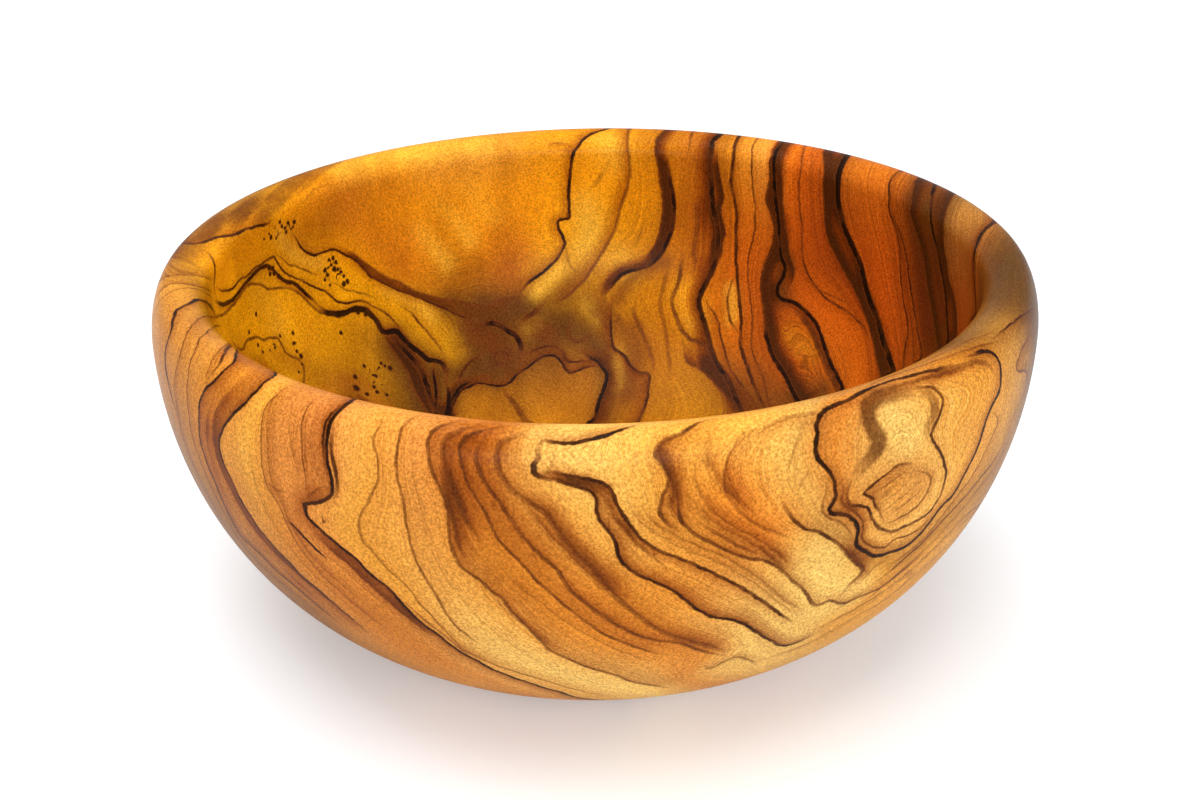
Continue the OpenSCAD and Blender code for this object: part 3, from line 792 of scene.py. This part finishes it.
def smooth_run(points):
    """A Catmull-Rom curve through the points, closed where they end as they start."""
    knots = np.array(points, float)
    closed = np.allclose(knots[0], knots[-1])
    before = knots[-2] if closed else 2 * knots[0] - knots[1]
    after = knots[1] if closed else 2 * knots[-1] - knots[-2]
    knots = np.vstack([before, knots, after])
    pieces = []
    for a, b, c, d in zip(knots[:-3], knots[1:-2], knots[2:-1], knots[3:]):
        count = max(1, int(np.linalg.norm(c - b) / CURVE_STEP))
        t = (np.arange(count) / count)[:, None]
        bend = (2 * a - 5 * b + 4 * c - d) * t ** 2 + (3 * b - a - 3 * c + d) * t ** 3
        pieces.append(0.5 * (2 * b + (c - a) * t + bend))
    pieces.append(knots[-2:-1])
    return np.vstack(pieces)


def even_run(points, step):
    """The same chain of points, resampled at an even step."""
    run = run_of(points)
    count = max(2, int(run[-1] / step) + 1)
    at = np.linspace(0, run[-1], count)
    return np.c_[tuple(np.interp(at, run, points[:, axis]) for axis in range(3))]


class Surface:
    """The bowl's surface in millimetres, with a tree for rays and nearest points."""

    def __init__(self, bowl):
        self.tree = BVHTree.FromObject(bowl, bpy.context.evaluated_depsgraph_get())

    def seen(self, pixel, in_well):
        """Where the sight line through a pixel meets the bowl, or None. On the near side, where a pixel may
        fall on the wrong face of the rim, the face has to be the one that is meant.
        """
        place, normal, _, _ = self.tree.ray_cast(EYE, sight_line(*pixel))
        if place is None:
            return None
        inwards = normal.x * place.x + normal.y * place.y < 0
        well = inwards and math.hypot(place.x, place.y) < THROAT_R
        if in_well != well and place.y < NEAR_SIDE:
            return None
        return np.array(place) / MM

    def nudged(self, pixel, in_well):
        """As seen(), but a pixel that misses is moved towards the middle of the face that is meant."""
        middle = np.array(WELL_MIDDLE if in_well else OUTSIDE_MIDDLE)
        spot = np.array(pixel, float)
        for _ in range(NUDGES):
            place = self.seen(spot, in_well)
            if place is not None:
                return place
            spot += unit(middle - spot)
        return None

    def in_view(self, point):
        """True where nothing hides this point of the surface from the camera."""
        sight = Vector(point) * MM - EYE
        return self.tree.ray_cast(EYE, sight.normalized(), sight.length - HIDDEN_DEPTH * MM)[0] is None

    def nearest(self, points):
        """The nearest points of the surface and its normals there."""
        found = [self.tree.find_nearest(Vector(point) * MM)[:2] for point in points]
        places = np.array([tuple(place) for place, _ in found]) / MM
        return places, np.array([tuple(normal) for _, normal in found])


class GrainLine:
    """One traced row, laid on the bowl."""

    def __init__(self, row, surface, in_well):
        self.level, self.ink, self.width, self.band, self.reach, pixels = row
        run = smooth_run(pixels)
        places = [surface.nudged(pixel, in_well) for pixel in run]
        self.points = even_run(np.array([place for place in places if place is not None]), LINE_STEP)
        self.runs_on = [self.leaves_view(run[::-1], surface, in_well), self.leaves_view(run, surface, in_well)]
        self.traced = self.points

    def leaves_view(self, run, surface, in_well):
        """True where the run, carried on past its last point, soon leaves the face it lies on."""
        if np.allclose(run[0], run[-1]):
            return False
        onward = unit(run[-1] - run[max(0, len(run) - TIP_PIXELS)])
        return surface.seen(run[-1] + onward * EDGE_PIXELS, in_well) is None


class GrainField:
    """Grain height, in millimetres, as a smooth field through the block, fitted to the drawn lines."""

    def __init__(self, lines):
        skip = round(GRAIN_STEP / LINE_STEP)
        places = [line.traced[skip // 2::skip] for line in lines]
        self.centres = np.vstack(places)
        levels = np.concatenate([np.full(len(place), line.level) for line, place in zip(lines, places)])
        count = len(self.centres)
        gap = self.centres[:, None] - self.centres[None]
        system = np.zeros((count + 4, count + 4))
        system[:count, :count] = -np.sqrt((gap ** 2).sum(2) + GRAIN_SOFTNESS ** 2)
        system[:count, :count] += GRAIN_SMOOTHING * np.eye(count)
        system[:count, count] = 1
        system[:count, count + 1:] = self.centres
        system[count:, :count] = system[:count, count:].T
        answer = np.linalg.solve(system, np.r_[levels, np.zeros(4)])
        self.weights, self.base, self.slope = answer[:count], answer[count], answer[count + 1:]

    def heights(self, points):
        parts = []
        for chunk in np.array_split(points, len(points) // CHUNK + 1):
            gap = chunk[:, None] - self.centres[None]
            parts.append(-np.sqrt((gap ** 2).sum(2) + GRAIN_SOFTNESS ** 2) @ self.weights)
        return np.concatenate(parts) + self.base + points @ self.slope

    def gradients(self, points):
        gap = points[:, None] - self.centres[None]
        pull = self.weights / np.sqrt((gap ** 2).sum(2) + GRAIN_SOFTNESS ** 2)
        return self.slope - (gap * pull[:, :, None]).sum(1)


def run_lines_on(lines, field, surface):
    """Lines that leave the view follow the grain on round the bowl."""
    ends = [(line, end) for line in lines for end in (0, 1) if line.runs_on[end]]
    tips = np.array([line.points[-1 if end else 0] for line, end in ends])
    back = [line.points[-TIP_POINTS:][0] if end else line.points[:TIP_POINTS][-1] for line, end in ends]
    heading = unit(tips - np.array(back))
    trails = [tips]
    for _ in range(round(RUN_ON_LENGTH / RUN_ON_STEP)):
        places, normals = surface.nearest(tips)
        course = unit(np.cross(normals, field.gradients(places)))
        course *= np.sign((course * heading).sum(1, keepdims=True))
        heading = unit(GRAIN_PULL * course + (1 - GRAIN_PULL) * heading)
        heading = unit(heading - normals * (heading * normals).sum(1, keepdims=True))
        tips, _ = surface.nearest(places + RUN_ON_STEP * heading)
        trails.append(tips)
    trails = np.array(trails)
    for index, (line, end) in enumerate(ends):
        steps = range(RUN_ON_CLEAR, len(trails))
        shown = [step for step in steps if surface.in_view(trails[step, index])]
        trail = trails[:shown[0] + 1 if shown else None, index]
        trail = even_run(trail, LINE_STEP)[1:]
        line.points = np.vstack([line.points, trail]) if end else np.vstack([trail[::-1], line.points])


def crowding(first, second):
    """How much two lines get in each other's way."""
    gap = np.linalg.norm(first[:, None] - second[None], axis=2).min(1)
    return (1 / (TOUCHING + gap[gap < LINE_REACH])).sum()


def sort_into_groups(lines):
    """Lines that lie close together go into different groups, so that each group's lines stay apart."""
    groups = [[] for _ in range(GROUPS)]
    thin = {id(line): line.points[::THINNING] for line in lines}
    for line in sorted(lines, key=lambda item: -item.ink * len(item.points)):
        costs = [sum(crowding(thin[id(line)], thin[id(other)]) for other in group) for group in groups]
        groups[int(np.argmin(costs))].append(line)
    return groups


def lay_group(group, surface, corners, normals):
    """For each corner of the mesh: how far it lies left of the group's nearest line, and the line's ink,
    width, band and reach. Where two lines of a group meet, both fade.
    """
    count = len(corners)
    first = np.full(count, FAR_OFF)
    second = np.full(count, FAR_OFF)
    values = np.tile(NO_LINE, (count, 1))
    for line in group:
        points = line.points
        _, faces = surface.nearest(points)
        along = unit(np.gradient(points, axis=0))
        left = unit(np.cross(faces, along))
        low = points.min(0) - LINE_REACH
        high = points.max(0) + LINE_REACH
        near = np.nonzero(((corners > low) & (corners < high)).all(1))[0]
        closed = np.linalg.norm(points[0] - points[-1]) < 1
        for part in np.array_split(near, len(near) // CHUNK + 1):
            if not len(part):
                continue
            gap = corners[part, None] - points[None]
            square = (gap ** 2).sum(2)
            nearest = square.argmin(1)
            row = np.arange(len(part))
            distance = np.sqrt(square[row, nearest])
            offset = gap[row, nearest]
            side = (offset * left[nearest]).sum(1)
            past = np.abs((offset * along[nearest]).sum(1))
            at_end = (nearest == 0) | (nearest == len(points) - 1)
            to_end = LINE_STEP * np.minimum(nearest, len(points) - 1 - nearest)
            taper = np.ones(len(part))
            if not closed:
                taper = np.clip((to_end + TAPER_START) / TAPER_RUN, 0, 1) ** TAPER_POWER
                taper *= np.where(at_end, np.clip(1 - past / END_FADE, 0, 1), 1)
            same_face = (normals[part] * faces[nearest]).sum(1) > -0.1
            mine = same_face & (distance < first[part])
            other = same_face & ~mine
            second[part[other]] = np.minimum(second[part[other]], distance[other])
            second[part[mine]] = first[part[mine]]
            first[part[mine]] = distance[mine]
            values[part[mine], 0] = np.clip(side[mine], -LINE_REACH, LINE_REACH)
            values[part[mine], 1] = line.ink * taper[mine]
            values[part[mine], 2] = line.width * (END_WIDTH + (1 - END_WIDTH) * taper[mine])
            values[part[mine], 3] = line.band * taper[mine]
            values[part[mine], 4] = line.reach
    clear = np.clip((second - first - CLEAR_GAP) / CLEAR_BLEND, 0, 1)
    values[:, 1] *= clear * np.clip(INK_REACH - first, 0, 1)
    values[:, 3] *= clear * np.clip(BAND_REACH * values[:, 4] + BAND_MARGIN - first, 0, 1)
    return values


def well_share(corners, normals):
    """1 in the well, 0 outside it, and from one to the other over the rim."""
    out = corners[:, :2] / np.maximum(np.linalg.norm(corners[:, :2], axis=1, keepdims=True), 1e-6)
    over_rim = np.clip(0.5 - 0.8 * (out * normals[:, :2]).sum(1), 0, 1)
    return np.where(corners[:, 2] > WIDEST_H / MM, over_rim, normals[:, 2] > 0)


def tone_of(corners, heights, shares, field, surface):
    """Colour of the wood at each corner, blended from the tones along the grain."""
    places = []
    colours = []
    homes = []
    for table, in_well in ((OUTSIDE_TONES, False), (WELL_TONES, True)):
        for name, pixels in table:
            for pixel in pixels:
                places.append(surface.nudged(pixel, in_well))
                colours.append(linear(TONES[name]))
                homes.append(float(in_well))
    places = np.array(places)
    levels = field.heights(places)
    colours = np.array(colours)
    blended = []
    chunks = [np.array_split(each, TONE_CHUNKS) for each in (corners, heights, shares)]
    for chunk, height, share in zip(*chunks):
        across = np.exp(-0.5 * ((height[:, None] - levels) / TONE_ACROSS) ** 2) + TONE_ACROSS_SHARE
        gap = ((chunk[:, None] - places[None]) ** 2).sum(2)
        along = np.exp(-0.5 * gap / TONE_ALONG ** 2) + TONE_FAR_SHARE * np.exp(-0.5 * gap / TONE_FAR ** 2)
        face = 1 - (1 - TONE_OTHER_FACE) * np.abs(share[:, None] - homes)
        weight = across * along * face + TONE_FLOOR
        blended.append(weight @ colours / weight.sum(1, keepdims=True))
    return np.vstack(blended)


def lay_patches(tone, corners, surface):
    """Blends the small patches into the tone, where it stands."""
    for name, radius, share, in_well, pixels in PATCHES:
        run = [surface.nudged(pixel, in_well) for pixel in smooth_run(pixels)]
        run = np.array([place for place in run if place is not None])
        middle = run.mean(0)
        reach = np.linalg.norm(run - middle, axis=1).max() + 3 * radius
        near = np.nonzero(np.linalg.norm(corners - middle, axis=1) < reach)[0]
        gap = np.linalg.norm(corners[near, None] - run[None], axis=2).min(1)
        part = (share * np.exp(-0.5 * (gap / radius) ** 2))[:, None]
        tone[near] = tone[near] * (1 - part) + linear(TONES[name]) * part


def lay_eyes(surface, corners, normals):
    """For each set of burl eyes and each corner near one: the eye's centre and its radius."""
    eyes = []
    for size, pixels in BURL_EYES:
        for pixel in pixels:
            eyes.append((surface.nudged(pixel, True), size))
    sets = [[] for _ in range(EYE_SETS)]
    for place, size in eyes:
        for group in sets:
            if all(np.linalg.norm(place - other) > EYE_GAP for other, _ in group):
                group.append((place, size))
                break
    layers = []
    for group in sets:
        values = np.c_[corners + EYE_FAR, np.zeros(len(corners))]
        for place, size in group:
            near = np.linalg.norm(corners - place, axis=1) < EYE_GAP / 2 + size
            values[near] = (*place, size)
        layers.append(values)
    return layers


def store(mesh, name, kind, values):
    layer = mesh.attributes.new(name, kind, "POINT")
    key = {"FLOAT": "value", "FLOAT_COLOR": "color", "FLOAT_VECTOR": "vector"}[kind]
    layer.data.foreach_set(key, np.ascontiguousarray(values, np.float32).ravel())


def lay_figure(bowl):
    """Writes the lines, the grain height and the tone onto the mesh."""
    surface = Surface(bowl)
    mesh = bowl.data
    count = len(mesh.vertices)
    corners = np.empty(count * 3)
    normals = np.empty(count * 3)
    mesh.vertices.foreach_get("co", corners)
    mesh.vertices.foreach_get("normal", normals)
    corners = corners.reshape(-1, 3) / MM
    normals = normals.reshape(-1, 3)
    lines = [GrainLine(row, surface, False) for row in OUTSIDE_LINES]
    lines += [GrainLine(row, surface, True) for row in WELL_LINES]
    field = GrainField(lines)
    run_lines_on(lines, field, surface)
    heights = field.heights(corners)
    store(mesh, "grain", "FLOAT", heights)
    inwards = (corners[:, :2] * normals[:, :2]).sum(1) < 0
    in_well = np.clip((corners[:, 0] - PLAIN_X) / PLAIN_BLEND, PLAIN_RINGS, 1)
    store(mesh, "rings", "FLOAT", np.where(inwards, in_well, 1))
    reaches = []
    for index, group in enumerate(sort_into_groups(lines)):
        values = lay_group(group, surface, corners, normals)
        store(mesh, f"lines_{index}", "FLOAT_COLOR", values[:, :4])
        reaches.append(values[:, 4])
    for index in range(0, GROUPS, 4):
        store(mesh, f"reach_{index // 4}", "FLOAT_COLOR", np.c_[tuple(reaches[index:index + 4])])
    shares = well_share(corners, normals)
    for name, shift in (("tone_low", -TONE_SHIFT), ("tone_high", TONE_SHIFT)):
        tone = tone_of(corners, heights + shift, shares, field, surface)
        lay_patches(tone, corners, surface)
        store(mesh, name, "FLOAT_COLOR", np.c_[tone, np.ones(count)])
    for index, values in enumerate(lay_eyes(surface, corners, normals)):
        store(mesh, f"eyes_{index}", "FLOAT_COLOR", values)


# The material

WOBBLE_SCALE = 520
BREAK_SCALE = 260
STREAK_SCALE = 24
BROAD_SCALE = 14
SHADE_SCALE = 30
HAIR_SCALE = 120
CLOUD_SCALE = 55
BURL_SCALE = 46
BURL_TURN = (0.5, -0.6, 0.2)
BURL_STRETCH = (2.4, 1, 0.8)
FIBRE_SCALE = 46
PORE_SCALE = 2700

LINE_THICKNESS = 0.58
HALO_FALL = -1.8
HALO_INK = 0.3
BAND_INK = 1.1
BAND_REACH_SHOWN = 1.25
EYE_INK = 0.9

BAND_TINT = (196, 146, 112)
BAND_BROWN = (128, 66, 18)
BAND_DARK = (66, 34, 12)
RING_BROWN = (104, 52, 20)
LINE_BROWN = (112, 56, 18)
LINE_BLACK = (30, 16, 8)

ROUGHNESS = 0.3
IOR = 1.1
BUMP = 0.1
BUMP_DEPTH = 0.2 * MM


class Nodes:
    """Short ways to add nodes to one tree."""

    def __init__(self, tree):
        self.tree = tree

    def add(self, kind, inputs=None, **settings):
        node = self.tree.nodes.new(kind)
        for name, value in settings.items():
            setattr(node, name, value)
        for key, value in (inputs or {}).items():
            if isinstance(value, bpy.types.NodeSocket):
                self.tree.links.new(value, node.inputs[key])
            else:
                node.inputs[key].default_value = value
        return node

    def attribute(self, name, output):
        return self.add("ShaderNodeAttribute", attribute_name=name).outputs[output]

    def math(self, operation, first, second=0.0, third=0.0, clamp=False):
        inputs = {0: first, 1: second, 2: third}
        return self.add("ShaderNodeMath", inputs, operation=operation, use_clamp=clamp).outputs[0]

    def noise(self, vector, scale, detail=2.0, height=None, roughness=0.5):
        inputs = {"Vector": vector, "Scale": scale, "Detail": detail, "Roughness": roughness}
        if height is not None:
            inputs["W"] = height
        dimensions = "3D" if height is None else "4D"
        return self.add("ShaderNodeTexNoise", inputs, noise_dimensions=dimensions).outputs[0]

    def remap(self, value, low, high, to_low, to_high):
        inputs = {0: value, 1: low, 2: high, 3: to_low, 4: to_high}
        return self.add("ShaderNodeMapRange", inputs).outputs[0]

    def mix(self, share, first, second, blend="MIX"):
        node = self.add("ShaderNodeMix", data_type="RGBA", blend_type=blend)
        for key, value in ((0, share), (6, first), (7, second)):
            if isinstance(value, bpy.types.NodeSocket):
                self.tree.links.new(value, node.inputs[key])
            else:
                node.inputs[key].default_value = value
        return node.outputs[2]


def rgba(colour):
    return (*linear(colour), 1)


def line_marks(nodes, index, reach, wobble):
    """Core and band of one group of lines."""
    colour = nodes.add("ShaderNodeAttribute", attribute_name=f"lines_{index}")
    parts = nodes.add("ShaderNodeSeparateColor", {0: colour.outputs["Color"]})
    distance = nodes.math("ADD", parts.outputs[0], wobble)
    ink = parts.outputs[1]
    width = nodes.math("MULTIPLY", parts.outputs[2], LINE_THICKNESS)
    band = colour.outputs["Alpha"]
    size = nodes.math("ABSOLUTE", distance)
    ratio = nodes.math("DIVIDE", size, width)
    core = nodes.math("MULTIPLY", nodes.remap(ratio, 0.65, 1.2, 1, 0), ink)
    halo = nodes.math("MULTIPLY", nodes.math("EXPONENT", nodes.math("MULTIPLY", size, HALO_FALL)), ink)
    chosen = nodes.math("MULTIPLY", distance, nodes.math("SIGN", band))
    side = nodes.remap(chosen, -0.1, 0.1, 0, 1)
    away = nodes.math("DIVIDE", size, nodes.math("MULTIPLY", reach, BAND_REACH_SHOWN))
    fade = nodes.math("SUBTRACT", 1, nodes.math("MULTIPLY", away, away), clamp=True)
    strength = nodes.math("MULTIPLY", nodes.math("ABSOLUTE", band), nodes.math("MULTIPLY", side, fade))
    return core, nodes.math("MULTIPLY_ADD", halo, HALO_INK, nodes.math("MULTIPLY", strength, BAND_INK))


def all_lines(nodes, wobble):
    """The groups of lines together: the darkest core, and the sum of the bands."""
    reaches = []
    for index in range(0, GROUPS, 4):
        colour = nodes.add("ShaderNodeAttribute", attribute_name=f"reach_{index // 4}")
        parts = nodes.add("ShaderNodeSeparateColor", {0: colour.outputs["Color"]})
        reaches += [*parts.outputs, colour.outputs["Alpha"]]
    cores = 0.0
    bands = 0.0
    for index, reach in enumerate(reaches):
        core, band = line_marks(nodes, index, reach, wobble)
        cores = nodes.math("MAXIMUM", cores, core)
        bands = nodes.math("ADD", bands, band)
    return cores, bands


def eye_marks(nodes, place, wobble):
    """Dark dots at the burl eyes."""
    dots = 0.0
    for index in range(EYE_SETS):
        centre = nodes.add("ShaderNodeAttribute", attribute_name=f"eyes_{index}")
        gap = nodes.add("ShaderNodeVectorMath", {0: place, 1: centre.outputs["Color"]}, operation="DISTANCE")
        size = nodes.math("MAXIMUM", centre.outputs["Alpha"], 0.01)
        ratio = nodes.math("DIVIDE", nodes.math("ADD", gap.outputs["Value"], wobble), size)
        dots = nodes.math("MAXIMUM", dots, nodes.remap(ratio, 0.6, 1.25, 1, 0))
    return dots


def shade_of(nodes, value):
    """A shade to multiply the wood by: its dark side is warmer than its light side."""
    red = nodes.math("POWER", value, 0.8)
    blue = nodes.math("POWER", value, 1.15)
    return nodes.add("ShaderNodeCombineColor", {0: red, 1: value, 2: blue}).outputs[0]


def plain_wood(nodes, place, grain, rings, streaks):
    """The wood between the lines: streaks of two tones, shaded along the grain or, where plain, mottled."""
    low = nodes.attribute("tone_low", "Color")
    high = nodes.attribute("tone_high", "Color")
    tone = nodes.mix(nodes.remap(streaks, 0.44, 0.56, 0, 1), low, high)
    shade = nodes.noise(place, SHADE_SCALE, 3, nodes.math("MULTIPLY", grain, 1.4), 0.72)
    hair = nodes.noise(place, HAIR_SCALE, 3, nodes.math("MULTIPLY", grain, 5), 0.7)
    shade = nodes.remap(shade, 0.41, 0.59, 0.72, 1.18)
    shade = nodes.math("MULTIPLY", shade, nodes.remap(hair, 0.4, 0.6, 0.82, 1.14))
    turned = nodes.add("ShaderNodeMapping", {"Vector": place, "Rotation": BURL_TURN, "Scale": BURL_STRETCH})
    burl = nodes.remap(nodes.noise(turned.outputs[0], BURL_SCALE, 5, roughness=0.62), 0.38, 0.62, 0.78, 1.16)
    shade = nodes.mix(rings, shade_of(nodes, burl), shade_of(nodes, shade))
    cloud = nodes.remap(nodes.noise(place, CLOUD_SCALE, 3), 0.3, 0.7, 0.86, 1.12)
    shade = nodes.mix(1.0, shade, shade_of(nodes, cloud), "MULTIPLY")
    return nodes.mix(1.0, tone, shade, "MULTIPLY")


def stained(nodes, wood, bands, place, grain):
    """The wood with its brown bands, and the brown by itself. Their edges break up along the fibres."""
    fibres = nodes.noise(place, FIBRE_SCALE, 4, nodes.math("MULTIPLY", grain, 3.2), 0.75)
    gate = nodes.math("SUBTRACT", bands, nodes.remap(fibres, 0.4, 0.6, 0.06, 0.8))
    crisp = nodes.remap(gate, -0.07, 0.07, 0, 1)
    soft = nodes.math("MULTIPLY", bands, 0.75, clamp=True)
    stain = nodes.math("MULTIPLY_ADD", crisp, 0.62, nodes.math("MULTIPLY", soft, 0.64), clamp=True)
    depth = nodes.math("MULTIPLY", nodes.remap(bands, 0.55, 1, 0, 0.9), nodes.remap(crisp, 0, 1, 0.35, 1))
    brown = nodes.mix(0.45, nodes.mix(1.0, wood, rgba(BAND_TINT), "MULTIPLY"), rgba(BAND_BROWN))
    return nodes.mix(depth, nodes.mix(stain, wood, brown), rgba(BAND_DARK)), brown


def ringed(nodes, wood, brown, place, grain, rings, streaks):
    """The wood with thin growth rings, where the streaks turn from one to the next."""
    broad = nodes.noise(place, BROAD_SCALE, 2, nodes.math("MULTIPLY", grain, 0.5), 0.55)
    ring = nodes.math("ABSOLUTE", nodes.math("SUBTRACT", streaks, 0.5))
    ring = nodes.remap(ring, 0.0, 0.017, 0.85, 0)
    ring = nodes.math("MULTIPLY", ring, nodes.remap(broad, 0.38, 0.58, 0.2, 1))
    ring = nodes.math("MULTIPLY", ring, rings)
    return nodes.mix(ring, wood, nodes.mix(0.5, brown, rgba(RING_BROWN)))


def olive_wood():
    material = bpy.data.materials.new("olive_wood")
    material.use_nodes = True
    material.node_tree.nodes.clear()
    nodes = Nodes(material.node_tree)
    place = nodes.add("ShaderNodeTexCoord").outputs["Object"]
    millimetres = nodes.add("ShaderNodeVectorMath", {0: place, "Scale": 1 / MM}, operation="SCALE").outputs[0]
    grain = nodes.attribute("grain", "Fac")
    rings = nodes.attribute("rings", "Fac")
    wobble = nodes.math("MULTIPLY_ADD", nodes.noise(place, WOBBLE_SCALE, 4, roughness=0.7), 0.8, -0.4)
    cores, bands = all_lines(nodes, wobble)
    streaks = nodes.noise(place, STREAK_SCALE, 3, nodes.math("MULTIPLY", grain, 1.7), 0.62)
    wood = plain_wood(nodes, place, grain, rings, streaks)
    wood, brown = stained(nodes, wood, bands, place, grain)
    wood = ringed(nodes, wood, brown, place, grain, rings, streaks)

    breaks = nodes.remap(nodes.noise(place, BREAK_SCALE, 2), 0.35, 0.6, 0.8, 1.1)
    eyes = nodes.math("MULTIPLY", eye_marks(nodes, millimetres, wobble), EYE_INK)
    cores = nodes.math("MAXIMUM", nodes.math("MULTIPLY", cores, breaks, clamp=True), eyes)
    ink = nodes.mix(nodes.remap(cores, 0.5, 0.95, 0, 1), rgba(LINE_BROWN), rgba(LINE_BLACK))
    wood = nodes.mix(nodes.remap(cores, 0, 0.75, 0, 0.97), wood, ink)

    pores = nodes.noise(place, PORE_SCALE, 2, roughness=0.75)
    wood = nodes.mix(1.0, wood, shade_of(nodes, nodes.remap(pores, 0.36, 0.64, 0.64, 1.32)), "MULTIPLY")
    bump = nodes.add("ShaderNodeBump", {"Strength": BUMP, "Distance": BUMP_DEPTH, "Height": pores})
    shader = nodes.add("ShaderNodeBsdfPrincipled", {
        "Base Color": wood, "Roughness": ROUGHNESS, "Normal": bump.outputs[0], "IOR": IOR})
    output = nodes.add("ShaderNodeOutputMaterial")
    material.node_tree.links.new(shader.outputs[0], output.inputs[0])
    return material


# The set

WHITE = (1.0, 1.0, 1.0, 1.0)
FLOOR_SIZE = 6
FLOOR_COLOUR = (0.83, 0.86, 0.89, 1)
FLOOR_LIFT = 0.26
WORLD_LIGHT = 0.55
WORLD_SEEN = 1.0


def add_floor():
    bpy.ops.object.select_all(action="DESELECT")
    bpy.ops.mesh.primitive_plane_add(size=FLOOR_SIZE, location=(0, 0, 0))
    floor = bpy.context.object
    floor.name = "floor"
    material = bpy.data.materials.new("floor_white")
    material.use_nodes = True
    material.node_tree.nodes.clear()
    nodes = Nodes(material.node_tree)
    seen = nodes.add("ShaderNodeLightPath").outputs["Is Camera Ray"]
    matt = nodes.add("ShaderNodeBsdfDiffuse", {"Color": FLOOR_COLOUR})
    strength = nodes.math("MULTIPLY", seen, FLOOR_LIFT)
    lift = nodes.add("ShaderNodeEmission", {"Color": WHITE, "Strength": strength})
    both = nodes.add("ShaderNodeAddShader", {0: matt.outputs[0], 1: lift.outputs[0]})
    output = nodes.add("ShaderNodeOutputMaterial")
    material.node_tree.links.new(both.outputs[0], output.inputs[0])
    floor.data.materials.append(material)


def add_softbox(name, place, aim, size, power, shines_only=False):
    """An oblong lamp. One that only shines is seen in the gloss and doesn't light the colour."""
    data = bpy.data.lights.new(name, "AREA")
    data.shape = "RECTANGLE"
    data.size, data.size_y = size
    data.energy = power
    lamp = bpy.data.objects.new(name, data)
    lamp.location = place
    lamp.rotation_euler = (Vector(aim) - Vector(place)).to_track_quat("-Z", "Y").to_euler()
    lamp.visible_diffuse = not shines_only
    bpy.context.scene.collection.objects.link(lamp)


def add_world():
    world = bpy.data.worlds.new("studio")
    bpy.context.scene.world = world
    world.use_nodes = True
    world.node_tree.nodes.clear()
    nodes = Nodes(world.node_tree)
    path = nodes.add("ShaderNodeLightPath")
    seen = nodes.math("MAXIMUM", path.outputs["Is Camera Ray"], path.outputs["Is Transmission Ray"])
    strength = nodes.remap(seen, 0, 1, WORLD_LIGHT, WORLD_SEEN)
    background = nodes.add("ShaderNodeBackground", {"Color": WHITE, "Strength": strength})
    output = nodes.add("ShaderNodeOutputWorld")
    world.node_tree.links.new(background.outputs[0], output.inputs[0])


bowl = spin_bowl()
lay_figure(bowl)
bowl.data.materials.append(olive_wood())
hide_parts("bowl")
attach(bowl, "root")

add_floor()
add_softbox("key", place=(-0.1, -0.1, 0.9), aim=(0, 0, 0.03), size=(0.9, 0.7), power=7)
add_softbox("front", place=(0.35, -0.95, 0.53), aim=(0, 0, 0.03), size=(0.9, 0.5), power=5.2)
add_softbox("strip", place=(-0.05, -1.0, 0.3), aim=(0, 0, 0.055), size=(1.1, 0.05), power=9, shines_only=True)
add_world()
add_camera()

scene = bpy.context.scene
scene.view_settings.view_transform = "Standard"
